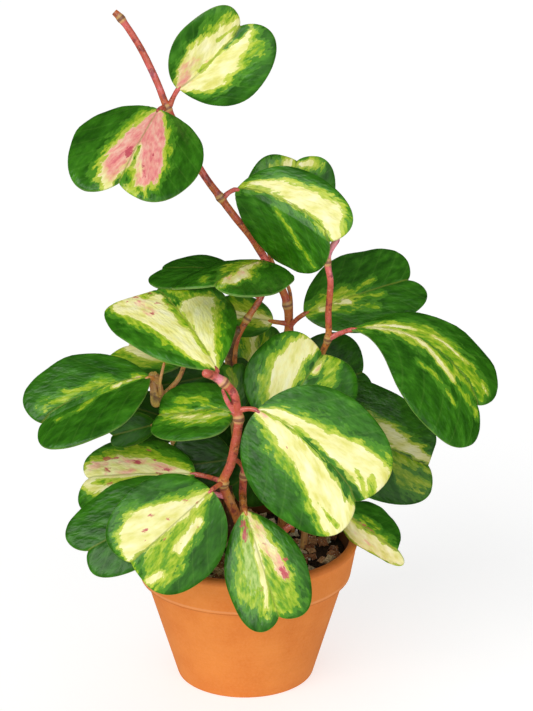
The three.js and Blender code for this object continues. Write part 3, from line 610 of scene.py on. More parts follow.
def finished(name, bm, material, node, smooth=True):
    """Turns a bmesh into a named piece at the origin, with its place in its mesh and its material, and
    hides the solid it stands in for.
    """
    bmesh.ops.transform(bm, matrix=Matrix.Translation(AXIS) @ Matrix.Scale(MM, 4), verts=bm.verts)
    for face in bm.faces:
        face.smooth = smooth
    mesh = bpy.data.meshes.new(name)
    bm.to_mesh(mesh)
    bm.free()
    mesh.materials.append(material)
    piece = bpy.data.objects.new(name, mesh)
    bpy.context.scene.collection.objects.link(piece)
    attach(piece, "root")
    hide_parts(node)
    return piece


# Leaf blades, with the outline and the bends of the solids

def bezier(points, t):
    a, b, c, d = (np.array(point, float)[:, None] for point in points)
    return (1 - t) ** 3 * a + 3 * (1 - t) ** 2 * t * b + 3 * (1 - t) * t * t * c + t ** 3 * d


class Blade:
    """One leaf's outline, frame and bends, from its foot, notch and facing direction."""

    def __init__(self, name, stem, start, foot, notch, half, face=(0, -0.95, 0.31), fold=(0, 0),
                 curl=(-10, -10), lobe=(0.08, 0.08), full=(0.7, 0.7), arch=15, sway=0, twist=0):
        self.name, self.stem, self.start = name, stem, Vector(start)
        self.half, self.lobe, self.full = half, lobe, full
        self.fold = [math.radians(angle) for angle in fold]
        self.curl = [(math.radians(angle) or FLATTEST) / wide for angle, wide in zip(curl, half)]
        self.bend = math.radians(arch) or FLATTEST
        self.swing = math.radians(sway) or FLATTEST
        self.twist = math.radians(twist)
        self.origin = Vector(foot)
        chord = Vector(notch) - self.origin
        shrink = math.sin(self.bend / 2) / (self.bend / 2) * math.sin(self.swing / 2) / (self.swing / 2)
        self.length = chord.length / shrink
        self.forward = chord.normalized()
        up = Vector(face)
        self.up = (up - self.forward * up.dot(self.forward)).normalized()
        self.right = self.forward.cross(self.up)
        self.outlines = [self.half_outline(side) for side in (0, 1)]
        near, _ = self.shaped(np.zeros(2), np.array([0, 0.01]) * self.length, np.ones(2))
        self.foot_way = Vector(near[1] - near[0]).normalized()

    def half_outline(self, side):
        """Curves of one half in shares of the length: foot to widest, on to the lobe, and up the notch."""
        width = self.half[side] / self.length
        full = self.full[side]
        widest = mixed(0.66, 0.54, full)
        lobe = 1 + self.lobe[side]
        lower = ((FOOT_HALF / self.length, 0), (mixed(0.28, 0.6, full) * width, mixed(0.1, 0, full)),
                 (width, mixed(0.36, 0.22, full)), (width, widest))
        upper = ((width, widest), (width, widest + 0.3), (0.78 * width, lobe), (LOBE_PLACE * width, lobe))
        notch = ((0, 1), (0.05 * width, 1 + 0.4 * self.lobe[side]), (0.2 * width, lobe),
                 (LOBE_PLACE * width, lobe))
        return lower, upper, notch

    def flat(self, along, across, sign):
        """Where points of the flat leaf lie, in mm from the midrib and from the foot."""
        x, y = np.zeros_like(along), np.zeros_like(along)
        for side, (lower, upper, notch) in enumerate(self.outlines):
            mine = (sign > 0) == (side == 1)
            t, a = along[mine], across[mine]
            margin = np.where(t < 0.5, bezier(lower, np.minimum(t * 2, 1)),
                              bezier(upper, np.maximum(t * 2 - 1, 0)))
            tip = bezier(notch, np.ones(1))
            edge = bezier(notch, a)
            pull = t ** NOTCH_PULL
            x[mine] = a * margin[0] + pull * (edge[0] - a * tip[0])
            straight = 1 - a + a * tip[1]
            y[mine] = (1 - a) * t ** ROW_SPREAD + a * margin[1] + pull * (edge[1] - straight)
        return x * self.length, y * self.length

    def shaped(self, x, y, sign):
        """Those points once the leaf is folded, curled, swayed, arched and twisted, and its normals."""
        fold = np.where(sign > 0, self.fold[1], self.fold[0])
        curl = np.where(sign > 0, self.curl[1], self.curl[0])
        slope = fold + curl * x
        across = (np.sin(slope) - np.sin(fold)) / curl
        lift = (np.cos(fold) - np.cos(slope)) / curl
        rate = self.swing / self.length
        heading = rate * y - self.swing / 2
        plan_x = (np.cos(heading) - math.cos(self.swing / 2)) / -rate + sign * across * np.cos(heading)
        plan_y = (np.sin(heading) + math.sin(self.swing / 2)) / rate - sign * across * np.sin(heading)
        plan = self.length * math.sin(self.swing / 2) / (self.swing / 2)
        rate = self.bend / plan
        pitch = self.bend / 2 - rate * plan_y
        forward = (math.sin(self.bend / 2) - np.sin(pitch)) / rate
        rise = (np.cos(pitch) - math.cos(self.bend / 2)) / rate
        roll = self.twist * (plan_y / plan - 0.5)
        ahead, up, right = (np.array(way) for way in (self.forward, self.up, self.right))
        tangent = np.outer(np.cos(pitch), ahead) + np.outer(np.sin(pitch), up)
        normal = np.outer(np.cos(pitch), up) - np.outer(np.sin(pitch), ahead)
        cos, sin = np.cos(roll)[:, None], np.sin(roll)[:, None]
        side, normal = right * cos + normal * sin, normal * cos - right * sin
        place = np.array(self.origin) + np.outer(forward, ahead) + np.outer(rise, up)
        place = place + side * plan_x[:, None] + normal * lift[:, None]
        lateral = side * np.cos(heading)[:, None] - tangent * np.sin(heading)[:, None]
        facing = normal * np.cos(slope)[:, None] - lateral * (sign * np.sin(slope))[:, None]
        return place, facing


def crowded(share, amount):
    """Moves evenly spaced shares of 0 to 1 towards both ends, where the detail is."""
    return share - amount * np.sin(2 * np.pi * share) / (2 * np.pi)


def rim_distance(blade, x, y):
    """How far each point lies from the margin, leaving out the cut where the petiole joins."""
    along, inward = crowded(np.linspace(0, 1, RIM_POINTS), RIM_CROWDING), np.linspace(0, 1, NOTCH_POINTS)
    rim = []
    for side in (-1.0, 1.0):
        for t, across in ((along, np.ones_like(along)), (np.ones_like(inward), inward)):
            rim_x, rim_y = blade.flat(t, across, np.full_like(t, side))
            rim.append(np.stack([rim_x * side, rim_y], 1))
    here = np.stack([x, y], 1)
    return np.sqrt(((here[:, None] - np.concatenate(rim)[None]) ** 2).sum(2).min(1))


def band_depth(stations, s, t, wide, length):
    """How many mm inside a band of (t, left, right) stations each point lies; negative outside."""
    if not stations:
        return np.full_like(s, -FAR)
    places, left, right = (np.array(column, float) for column in zip(*stations))
    beyond = np.maximum(places[0] - t, 0) + np.maximum(t - places[-1], 0)
    inside = np.minimum(s - np.interp(t, places, left), np.interp(t, places, right) - s)
    return inside * wide - beyond * length


def streak_depth(blade, streak, x, y):
    """The same for a streak from one place on the leaf to another, of a width in mm."""
    from_across, from_t, to_across, to_t, width = streak
    across, t = np.array([from_across, to_across]), np.array([from_t, to_t])
    sign = np.where(across < 0, -1.0, 1.0)
    end_x, end_y = blade.flat(t, np.abs(across), sign)
    end_x = end_x * sign
    run = np.array([end_x[1] - end_x[0], end_y[1] - end_y[0]])
    share = ((x - end_x[0]) * run[0] + (y - end_y[0]) * run[1]) / max(run @ run, 1e-6)
    share = np.clip(share, 0, 1)
    depth = width / 2 - np.hypot(x - end_x[0] - share * run[0], y - end_y[0] - share * run[1])
    return depth * min(THIN_GAIN, 1 + 2 / width)


def marking_depths(blade, marks, s, t, wide, x, y):
    """How many mm inside each kind of marking every point lies."""
    depths = {kind: band_depth(marks.get(kind), s, t, wide, blade.length) for kind in KINDS}
    for kind, *streak in marks.get("streaks", ()):
        depth = streak_depth(blade, streak, x, y)
        for cut in CUTS.get(kind, ()):
            depths[cut] = np.minimum(depths[cut], -depth)
        if kind in depths:
            depths[kind] = np.maximum(depths[kind], depth)
        if kind in LIME_EDGE:
            depths["lime"] = np.maximum(depths["lime"], depth + LIME_EDGE[kind])
    return {kind: np.clip(depth, -FAR, FAR) for kind, depth in depths.items()}


def faded(distance, start, full):
    """A share that grows from 0 at one distance in mm to 1 at another."""
    return np.clip((distance - start) / (full - start), 0, 1)


def set_values(bm, name, *values):
    """Keeps three numbers on each vertex, for the material to read."""
    layer = bm.verts.layers.float_vector.new(name)
    for vert, value in zip(bm.verts, np.stack(values, 1)):
        vert[layer] = value


def leaf_blade(blade, marks, seed):
    """A fleshy blade: a grid shaped by the leaf's formula, thickened and rounded at its margin."""
    bm = bmesh.new()
    bmesh.ops.create_grid(bm, x_segments=2 * HALF_COLUMNS, y_segments=ROWS, size=1)
    column, row = np.array([vert.co[:2] for vert in bm.verts]).T
    sign = np.where(column < 0, -1.0, 1.0)
    across = crowded(np.abs(column), COLUMN_CROWDING)
    t = crowded((row + 1) / 2, ROW_CROWDING)
    ones = np.ones_like(t)
    from_midrib, y = blade.flat(t, across, sign)
    x = sign * from_midrib
    rim = rim_distance(blade, x, y)
    rim[(across > 0.999) | (t > 0.999)] = 0

    # Side veins leave the midrib forwards and reach the margin in a slight bow.
    centre = mixed(*marks.get("midrib", (0, 0)), t) * np.minimum(1, (1 - t) / NOTCH_SHARE)
    left_half, right_half = blade.flat(t, ones, -ones)[0], blade.flat(t, ones, ones)[0]
    off = x - centre * np.where(centre < 0, left_half, right_half)
    away = np.abs(off)
    vein_from = y - VEIN_SLOPE * away + VEIN_BOW * away ** 2
    spacing = blade.length / VEINS_ALONG
    phase = vein_from / spacing + (0.5 if seed % 2 else 0) * (off > 0)
    vein = np.exp(-(np.minimum(phase % 1, 1 - phase % 1) * spacing / VEIN_WIDTH) ** 2)
    vein = vein * faded(away, 0, 5) * faded(rim, 1, 7)
    midrib = np.exp(-(off / MIDRIB_WIDTH) ** 2) * faded(y, 0, 10)
    quilt = np.cos(2 * np.pi * phase) * faded(away, 0, 8) * faded(rim, 2, 10)

    # The margin waves and turns down, and the skin between the veins swells a little.
    beat = np.random.default_rng(seed).uniform(0, 6.3, 4)
    long_wave = np.sin(y / WAVE_RUNS[0] + beat[0] + sign) * across ** 3
    short_wave = np.sin(y / WAVE_RUNS[1] + sign * beat[1]) * across ** 5
    swell = SWELL_HEIGHTS[0] * np.sin(x / SWELL_RUNS[0] + beat[2]) * np.sin(y / SWELL_RUNS[1] + beat[3])
    swell = swell + SWELL_HEIGHTS[1] * np.sin((x + y) / SWELL_RUNS[2] + beat[1])
    droop = DROOP * np.maximum(0, 1 - rim / DROOP_WIDTH) ** 2 * faded(y, 0, 8)
    waves = WAVE_HEIGHTS[0] * long_wave + WAVE_HEIGHTS[1] * short_wave
    height = waves + swell * faded(rim, 0, 4) - droop

    place, facing = blade.shaped(from_midrib, y, sign)
    middle = np.abs(column) < 1e-6
    facing[middle] += blade.shaped(from_midrib, y, -sign)[1][middle]
    facing /= np.linalg.norm(facing, axis=1)[:, None]
    place = place + np.array(blade.foot_way) * FOOT_GAP + facing * height[:, None]
    rounded = np.sqrt(1 - (1 - np.minimum(rim / EDGE_ROUND, 1)) ** 2)
    thick = mixed(EDGE_THICK, HALF_THICK, rounded)
    sunk = MIDRIB_TOP * midrib + VEIN_TOP * vein + QUILT_TOP * quilt
    raised = MIDRIB_UNDER * midrib + VEIN_UNDER * vein + QUILT_UNDER * quilt
    top = place + facing * (thick - sunk)[:, None]
    under = place - facing * (thick + raised)[:, None]

    wide = blade.flat(t, ones, sign)[0]
    depths = marking_depths(blade, marks, sign * across, t, wide, x, y)
    # Painted light and shade: one factor on the whole leaf's colour.
    painted_light = ones * marks.get("painted_light", 1.0)
    set_values(bm, "grain", vein_from, away, seed * 17.3 + 5 * (off > 0))
    set_values(bm, "zones", depths["lime"], depths["cream"], depths["pink"])
    set_values(bm, "marks", depths["crimson"], depths["pale"], away)
    set_values(bm, "edge", rim, np.zeros_like(rim), phase)
    set_values(bm, "painted_light", painted_light, painted_light, painted_light)

    # The underside is an extruded copy of the top, and its place in "edge" is set to 1.
    edge = bm.verts.layers.float_vector["edge"]
    number = bm.verts.layers.int.new("number")
    for i, vert in enumerate(list(bm.verts)):
        vert.co = top[i]
        vert[number] = i
    made = bmesh.ops.extrude_face_region(bm, geom=bm.faces[:], use_keep_orig=True)
    for vert in made["geom"]:
        if isinstance(vert, bmesh.types.BMVert):
            vert.co = under[vert[number]]
            vert[edge][1] = 1
    bmesh.ops.recalc_face_normals(bm, faces=bm.faces)
    return finished("blade_" + blade.name, bm, LEAF_SKIN, "leaf_" + blade.name)


# Stems

def smooth_route(route):
    """Points of a centripetal spline through a route."""
    points = [Vector(point) for point in route]
    points = [2 * points[0] - points[1]] + points + [2 * points[-1] - points[-2]]
    found = []
    for a, b, c, d in zip(points, points[1:], points[2:], points[3:]):
        gaps = [math.sqrt((q - p).length) or 1 for p, q in ((a, b), (b, c), (c, d))]
        leave = ((b - a) / gaps[0] - (c - a) / (gaps[0] + gaps[1]) + (c - b) / gaps[1]) * gaps[1]
        arrive = ((c - b) / gaps[1] - (d - b) / (gaps[1] + gaps[2]) + (d - c) / gaps[2]) * gaps[1]
        for i in range(ROUTE_STEPS):
            u = i / ROUTE_STEPS
            found.append(b * (2 * u ** 3 - 3 * u * u + 1) + leave * (u ** 3 - 2 * u * u + u)
                         + c * (3 * u * u - 2 * u ** 3) + arrive * (u ** 3 - u * u))
    found.append(points[-2])
    return found


def run_lengths(line):
    """How far along a line each of its points lies."""
    runs = [0]
    for a, b in zip(line, line[1:]):
        runs.append(runs[-1] + (b - a).length)
    return runs


def tube_stations(whole, cap, sawn):
    """Where a tube's rings stand: evenly, closer together on its round ends or over a sawn one."""
    rows = max(6, round(whole / TUBE_STEP))
    if rows < SHORT_TUBE:
        return [whole * (0.5 - 0.5 * math.cos(math.pi * i / rows)) for i in range(rows + 1)]
    even = [whole * (i / rows) for i in range(rows + 1)]
    last = [whole - cap * share for share in reversed(CAP_SHARES)]
    if sawn:
        last = [whole + past for past, _, _ in SAWN_TIP]
    return [cap * share for share in CAP_SHARES] + [d for d in even if cap < d < whole - cap] + last


def grow_tube(bm, route, radius_at, age_at, sides=TUBE_SIDES, knots=(), sawn=False):
    """Adds a round closed tube: a grid wrapped about a smooth route, its seam and poles merged."""
    line = smooth_route(route)
    runs = run_lengths(line)
    whole = runs[-1]
    columns = [[point[k] for point in line] for k in range(3)]

    def along(d):
        return Vector([float(np.interp(min(max(d, 0), whole), runs, column)) for column in columns])

    cap = radius_at(0)
    stations = tube_stations(whole, cap, sawn)
    rows = len(stations) - 1
    frames = []
    side = None
    for d in stations:
        tangent = (along(d + TANGENT_REACH) - along(d - TANGENT_REACH)).normalized()
        side = tangent.orthogonal() if side is None else side - tangent * side.dot(tangent)
        side.normalize()
        frames.append((along(d), side.copy(), tangent.cross(side)))
    grid = bmesh.ops.create_grid(bm, x_segments=sides, y_segments=rows, size=1)["verts"]
    skin = bm.verts.layers.float_vector["skin"]
    knot = bm.verts.layers.float_vector["knot"]
    for vert in grid:
        turn, ring = vert.co.x * math.pi, round((vert.co.y + 1) / 2 * rows)
        place, side, up = frames[ring]
        d = stations[ring]
        close = min(d, whole - d)
        end = math.sqrt(max(0.0, 1 - (1 - min(close / cap, 1)) ** 2))
        pale = 0
        if sawn and ring > rows - len(SAWN_TIP):
            _, end, pale = SAWN_TIP[ring - rows - 1]
        swell = sum(high * math.exp(-((d - at) / long) ** 2) for at, high, long in knots)
        uneven = 0.05 * noise.noise(Vector((turn, d / 9, cap * 7)))
        uneven += 0.035 * noise.noise(Vector((3 * turn, d / 3, 1)))
        radius = radius_at(d / whole) * (1 + swell + uneven) * end
        vert.co = place + (side * math.cos(turn) + up * math.sin(turn)) * radius
        vert[skin] = (d, turn, age_at(d / whole))
        vert[knot] = (swell, cap, pale)
    bmesh.ops.remove_doubles(bm, verts=grid, dist=0.004)


def petiole(bm, blade, age):
    """A blade's short stalk, which swells at the vine and runs thin into the blade's foot."""
    gap = (blade.origin - blade.start).length
    before = blade.start.lerp(blade.origin, 0.6) - blade.foot_way * 0.12 * gap
    into = blade.origin + blade.foot_way * PETIOLE_TAIL
    reach = gap + PETIOLE_TAIL

    def radius_at(share):
        thinned = 1 - 0.4 * max(0, (share * reach - gap) / PETIOLE_TAIL)
        return mixed(*PETIOLE_RADII, min(1, share * 2.5)) * thinned

    route = [blade.start, before, blade.origin, into]
    grow_tube(bm, route, radius_at, lambda share: age, sides=PETIOLE_SIDES)


def vine(name, spec, blades, old, young, power=1):
    """One leafy stem with its swollen nodes, stubs, old wood and petioles."""
    bm = bmesh.new()
    bm.verts.layers.float_vector.new("skin")
    bm.verts.layers.float_vector.new("knot")
    route = spec["route"]
    runs = run_lengths(smooth_route(route))
    knots = [(runs[ROUTE_STEPS * number], KNOT_SWELL, KNOT_LENGTH) for number in spec["nodes"]]
    grow_tube(bm, route, lambda share: mixed(*spec["radius"], share),
              lambda share: mixed(old, young, share ** power), knots=knots, sawn=name == "stem_tall")
    extras = [(points, radii, young) for points, radii in spec.get("stubs", ())]
    for points, radii, age in extras + list(OLD_WOOD.get(name, ())):
        grow_tube(bm, points, lambda share: mixed(*radii, share), lambda share: age)
    for blade in blades:
        if blade.stem == name:
            petiole(bm, blade, mixed(old, young, 0.5) + 0.1)
    bmesh.ops.recalc_face_normals(bm, faces=bm.faces)
    return finished("vine_" + name.removeprefix("stem_"), bm, STEM_SKIN, name)


# Pot and what fills it

def pot_profile():
    """Half of the pot's section, from the drain hole round the outside and back down the inside."""
    return [
        (DRAIN_RADIUS + 0.6, 0), (BASE_RADIUS - 1.6, 0), (BASE_RADIUS - 0.4, 0.4), (BASE_RADIUS, 1.4),
        (NECK_RADIUS - 0.5, BAND_FOOT - 0.8), (NECK_RADIUS + 0.4, BAND_FOOT),
        (BAND_LOW_RADIUS - 1.2, BAND_FOOT), (BAND_LOW_RADIUS - 0.3, BAND_FOOT + 0.4),
        (BAND_LOW_RADIUS, BAND_FOOT + 1.4),
        (RIM_RADIUS - 1, POT_HEIGHT - 6), (RIM_RADIUS - 0.5, POT_HEIGHT - 4.2),
        (RIM_RADIUS, POT_HEIGHT - 2.6), (RIM_RADIUS - 0.4, POT_HEIGHT - 1),
        (RIM_RADIUS - 1.4, POT_HEIGHT - 0.2), (RIM_RADIUS - 2.6, POT_HEIGHT),
        (RIM_RADIUS - WALL + 1.8, POT_HEIGHT), (RIM_RADIUS - WALL + 0.4, POT_HEIGHT - 0.5),
        (RIM_RADIUS - WALL, POT_HEIGHT - 1.8), (BAND_LOW_RADIUS - WALL - 1, BAND_FOOT),
        (BASE_RADIUS - WALL + 2, FLOOR + 3), (BASE_RADIUS - WALL - 1, FLOOR), (DRAIN_RADIUS + 0.6, FLOOR),
        (DRAIN_RADIUS, FLOOR - 0.6), (DRAIN_RADIUS, 0.6),
    ]


def inner_radius(height):
    """The pot's inside at a height."""
    if height < BAND_FOOT:
        share = (height - FLOOR - 3) / (BAND_FOOT - FLOOR - 3)
        return mixed(BASE_RADIUS - WALL + 2, BAND_LOW_RADIUS - WALL - 1, share)
    share = (height - BAND_FOOT) / (BAND_HEIGHT - 1.6)
    return mixed(BAND_LOW_RADIUS - WALL - 1, RIM_RADIUS - WALL, share)


def spun(bm, profile, steps, closed):
    """Spins a section about the pot's axis, closing its seam."""
    verts = [bm.verts.new((radius, 0, height)) for radius, height in profile]
    edges = [bm.edges.new(pair) for pair in zip(verts, verts[1:])]
    if closed:
        edges.append(bm.edges.new((verts[-1], verts[0])))
    bmesh.ops.spin(bm, geom=verts + edges, axis=(0, 0, 1), cent=(0, 0, 0), angle=2 * math.pi,
                   steps=steps, use_merge=True)
    bmesh.ops.remove_doubles(bm, verts=bm.verts, dist=0.001)
    bmesh.ops.recalc_face_normals(bm, faces=bm.faces)


def clay_pot():
    """The pot, whose inner wall is marked for painted shade."""
    bm = bmesh.new()
    profile = []
    for a, b in zip(pot_profile(), pot_profile()[1:] + pot_profile()[:1]):
        pieces = max(1, round(math.dist(a, b) / CLAY_STEP))
        profile += [tuple(mixed(p, q, i / pieces) for p, q in zip(a, b)) for i in range(pieces)]
    spun(bm, profile, POT_STEPS, True)
    inner_shade = bm.verts.layers.float_vector.new("inner_shade")
    for vert in bm.verts:
        away = math.hypot(vert.co.x, vert.co.y)
        wall = inner_radius(max(vert.co.z, FLOOR + 3)) + 0.8
        inside = FLOOR <= vert.co.z < POT_HEIGHT - 1 and away < wall
        vert[inner_shade] = (inside, 0, 0)
    return finished("clay_pot", bm, CLAY, "pot")


def ground(x, y):
    """The height of the potting mix's lumpy top."""
    height = MIX_TOP
    for swell in SWELLS:
        place = Vector((x / swell["wide"], y / swell["wide"], swell["place"]))
        height += swell["high"] * noise.noise(place)
    return height


def mix_bed():
    """The body of peat, flat against the pot and lumpy on top."""
    bm = bmesh.new()
    edge = inner_radius(MIX_TOP) - GAP_AT_TOP
    profile = [(0, FLOOR + GAP_BELOW), (BASE_RADIUS - WALL - 1 - GAP_AT_FOOT, FLOOR + GAP_BELOW),
               (inner_radius(FLOOR + 3) - GAP_AT_FOOT, FLOOR + 3 + GAP_AT_FOOT),
               (inner_radius(BAND_FOOT) - GAP_BESIDE, BAND_FOOT)]
    profile += [(edge * (1 - i / MIX_RINGS) ** 0.8, MIX_TOP) for i in range(MIX_RINGS + 1)]
    spun(bm, profile, MIX_STEPS, False)
    for vert in bm.verts:
        if vert.co.z > MIX_TOP - 0.1:
            fade = min(1, (edge - math.hypot(vert.co.x, vert.co.y)) / 2 + 0.3)
            vert.co.z = mixed(MIX_TOP - 1, ground(vert.co.x, vert.co.y), fade)
    return finished("mix_bed", bm, PEAT, "potting_mix")


def scattered(name, material, count, sizes, build, flat, seed):
    """Lays many small pieces on the mix, each turned and roughened its own way, as one mesh."""
    bm = bmesh.new()
    tint = bm.verts.layers.float_vector.new("chip")
    draw = random.Random(seed)
    edge = inner_radius(MIX_TOP)
    for i in range(count):
        size = draw.uniform(*sizes)
        away = math.sqrt(draw.random()) * (edge - size - BIT_GAP)
        turn = draw.uniform(0, 2 * math.pi)
        x, y = away * math.cos(turn), away * math.sin(turn)
        made = build(bm)
        jolt = Vector((draw.uniform(0, 90), draw.uniform(0, 90), 0))
        spread = Matrix.Diagonal((size, size * draw.uniform(*flat[0]), size * draw.uniform(*flat[1]), 1))
        tilt = Matrix.Rotation(draw.uniform(-BIT_TILT, BIT_TILT), 4, "X")
        tilt = tilt @ Matrix.Rotation(draw.uniform(-BIT_TILT, BIT_TILT), 4, "Y")
        spin = Matrix.Rotation(draw.uniform(0, 6.3), 4, "Z")
        lift = Matrix.Translation((x, y, ground(x, y) + size * BIT_LIFT))
        shade = draw.random()
        for vert in made:
            vert.co += vert.co.normalized() * BIT_DENT * noise.noise(vert.co * 1.7 + jolt)
            vert.co = lift @ spin @ tilt @ spread @ vert.co
            vert[tint] = (shade, i % 7 / 7, size)
    return finished(name, bm, material, "potting_mix", smooth=False)


def lump(bm):
    """A crumb or a grain starts as a ball of 20 faces."""
    return bmesh.ops.create_icosphere(bm, subdivisions=1, radius=1)["verts"]


def slab(bm):
    """A chip of bark starts as a block cut into smaller faces."""
    known = len(bm.verts)
    made = bmesh.ops.create_cube(bm, size=1.7)["verts"]
    edges = list({edge for vert in made for edge in vert.link_edges})
    bmesh.ops.subdivide_edges(bm, edges=edges, cuts=2, use_grid_fill=True)
    bm.verts.ensure_lookup_table()
    return bm.verts[known:]


# Materials

def linear(hex_colour):
    """An sRGB hex colour as the linear RGBA that shader sockets take."""
    shares = [int(hex_colour[i:i + 2], 16) / 255 for i in (1, 3, 5)]
    return [c / 12.92 if c <= 0.04045 else ((c + 0.055) / 1.055) ** 2.4 for c in shares] + [1]


def substance(name, **surface):
    """A new material with one principled surface, whose plain values are set on its own sockets."""
    material = bpy.data.materials.new(name)
    material.use_nodes = True
    shader = material.node_tree.nodes["Principled BSDF"]
    for socket, value in surface.items():
        shader.inputs[socket.replace("_", " ")].default_value = value
    return material


def add(material, kind, out=0, stops=(), plug=None, **settings):
    """Adds a shader node with its settings, colour stops and socket values or links; gives an output."""
    tree = material.node_tree
    node = tree.nodes.new("ShaderNode" + kind)
    for key, value in settings.items():
        setattr(node, key, value)
    for i, (place, colour) in enumerate(stops):
        stop = node.color_ramp.elements[i] if i < 2 else node.color_ramp.elements.new(place)
        stop.position = place
        stop.color = linear(colour)
    for socket, value in (plug or {}).items():
        if isinstance(value, bpy.types.NodeSocket):
            tree.links.new(value, node.inputs[socket])
        else:
            node.inputs[socket].default_value = value
    return node.outputs[out]


def wire(material, **sockets):
    """Links the surface's own sockets to what feeds them."""
    shader = material.node_tree.nodes["Principled BSDF"]
    for socket, value in sockets.items():
        material.node_tree.links.new(value, shader.inputs[socket.replace("_", " ")])
    return material


def millimetres(material):
    """Places on the piece in millimetres, so that a Scale of 1 / 5 makes patches of about 5 mm."""
    place = add(material, "TexCoord", "Object")
    return add(material, "Mapping", plug={"Vector": place, "Scale": (1 / MM, 1 / MM, 1 / MM)})


def kept_values(material, name):
    """The three numbers kept on each vertex under a name."""
    values = add(material, "Attribute", "Vector", attribute_name=name)
    return add(material, "SeparateXYZ", plug={"Vector": values}).node.outputs


def painted(material, under, colour, value, start, full, most=1, edge="SMOOTHSTEP"):
    """Another colour over the one under it: none where a value is at start, the most where at full."""
    limits = {"Value": value, "From Min": start, "From Max": full, "To Max": most}
    share = add(material, "MapRange", interpolation_type=edge, plug=limits)
    over = linear(colour) if isinstance(colour, str) else colour
    return add(material, "MixRGB", plug={"Fac": share, "Color1": under, "Color2": over})


def clay():
    """Unglazed terracotta, thrown and fired: matte, faintly mottled, with fine turning marks."""
    pot = substance("fired_terracotta", Roughness=0.82, IOR=1.5, Specular_IOR_Level=0.3)
    mm = millimetres(pot)
    height = add(pot, "SeparateXYZ", "Z", plug={"Vector": mm})
    cloud = add(pot, "TexNoise", plug={"Vector": mm, "Scale": 1 / 26, "Detail": 4, "Roughness": 0.6})
    speck = add(pot, "TexNoise", plug={"Vector": mm, "Scale": 1 / 1.6, "Detail": 3, "Roughness": 0.7})
    squash = add(pot, "Mapping", plug={"Vector": mm, "Scale": (0.02, 0.02, 0.9)})
    ring = add(pot, "TexNoise", plug={"Vector": squash, "Scale": 1, "Detail": 3})
    over_corner = add(pot, "Math", operation="SUBTRACT", plug={0: height, 1: BAND_FOOT})
    from_corner = add(pot, "Math", operation="ABSOLUTE", plug={0: over_corner})
    over_highlight_line = add(pot, "Math", operation="SUBTRACT", plug={0: over_corner, 1: 2.2})
    from_highlight_line = add(pot, "Math", operation="ABSOLUTE", plug={0: over_highlight_line})

    # Grit, turning marks, a darker lip, painted shade under the band, a painted highlight line above it and
    # painted shade on the inside wall.
    # The grit is drawn about twice as coarse as real grains, so that it shows in the view.
    look = add(pot, "ValToRGB", stops=((0.3, "#d8782c"), (0.72, "#e4893b")), plug={"Fac": cloud})
    look = painted(pot, look, "#f0a76c", speck, 0.35, 0.7, 0.14, "LINEAR")
    look = painted(pot, look, "#b4551f", ring, 0.4, 0.7, 0.05, "LINEAR")
    look = painted(pot, look, "#a8501f", height, POT_HEIGHT - 5, POT_HEIGHT - 2.5, 0.35)
    # Painted shade: a dark line round the step where the band overhangs the neck.
    look = painted(pot, look, "#8f4318", from_corner, 1.1, 0.3, 0.6)
    # Painted highlight: a pale line along the band's rounded lower edge, just above the step.
    look = painted(pot, look, "#efac78", from_highlight_line, 1.3, 0.2, 0.35)
    # Painted shade: the inner wall, lying in shade below the leaves, is darkened to near black and a little
    # mottled.
    mottling = add(pot, "MapRange", plug={"Value": cloud, "From Min": 0.3, "From Max": 0.7,
                                       "To Min": 0.96, "To Max": 0.8})
    inside_shade = add(pot, "Math", operation="MULTIPLY", plug={0: kept_values(pot, "inner_shade")["X"], 1: mottling})
    look = add(pot, "MixRGB", plug={"Fac": inside_shade, "Color1": look, "Color2": linear("#2c160c")})
    fine = add(pot, "TexNoise", plug={"Vector": mm, "Scale": 1 / 0.9, "Detail": 3, "Roughness": 0.65})
    rough = add(pot, "Math", operation="ADD", plug={0: fine, 1: ring})
    relief = add(pot, "Bump", plug={"Height": rough, "Strength": 0.5, "Distance": 0.00025})
    return wire(pot, Base_Color=look, Normal=relief)


def peat():
    """Moist peat: near black, crumbly and dull."""
    mix = substance("moist_peat", Roughness=0.95, Specular_IOR_Level=0.2)
    mm = millimetres(mix)
    crumb = add(mix, "TexNoise", plug={"Vector": mm, "Scale": 1 / 1.5, "Detail": 4, "Roughness": 0.7})
    browns = ((0.35, "#0e0806"), (0.68, "#3a271b"), (0.8, "#5a3f2b"))
    look = add(mix, "ValToRGB", stops=browns, plug={"Fac": crumb})
    relief = add(mix, "Bump", plug={"Height": crumb, "Strength": 0.9, "Distance": 0.0008})
    return wire(mix, Base_Color=look, Normal=relief)


def bark():
    """Broken orchid bark: porous brown and red-brown chips, a few of them tan, dusted with white."""
    chip = substance("pine_bark", Roughness=0.9, Specular_IOR_Level=0.25)
    mm = millimetres(chip)
    pore = add(chip, "TexNoise", plug={"Vector": mm, "Scale": 1 / 1.3, "Detail": 4, "Roughness": 0.75})
    dust = add(chip, "TexNoise", plug={"Vector": mm, "Scale": 1 / 0.8, "Detail": 1})
    tints = ((0, "#94583a"), (0.5, "#bd7f55"), (0.75, "#cf9a6c"), (0.84, "#e6c79c"), (1, "#e6d3b2"))
    look = add(chip, "ValToRGB", stops=tints, plug={"Fac": kept_values(chip, "chip")["X"]})
    look = painted(chip, look, "#1d100a", pore, 0.62, 0.38, 0.6, "LINEAR")
    look = painted(chip, look, "#e6ddcf", dust, 0.66, 0.7, 1, "LINEAR")
    relief = add(chip, "Bump", plug={"Height": pore, "Strength": 1.0, "Distance": 0.001})
    return wire(chip, Base_Color=look, Normal=relief)


def perlite():
    """Expanded perlite: chalky white, faintly stained by the peat."""
    bits = substance("perlite_grains", Roughness=0.95, Specular_IOR_Level=0.2)
    mottling = add(bits, "TexNoise", plug={"Vector": millimetres(bits), "Scale": 1 / 1.1, "Detail": 2})
    look = add(bits, "ValToRGB", stops=((0.36, "#a89a86"), (0.55, "#efece4")), plug={"Fac": mottling})
    return wire(bits, Base_Color=look)


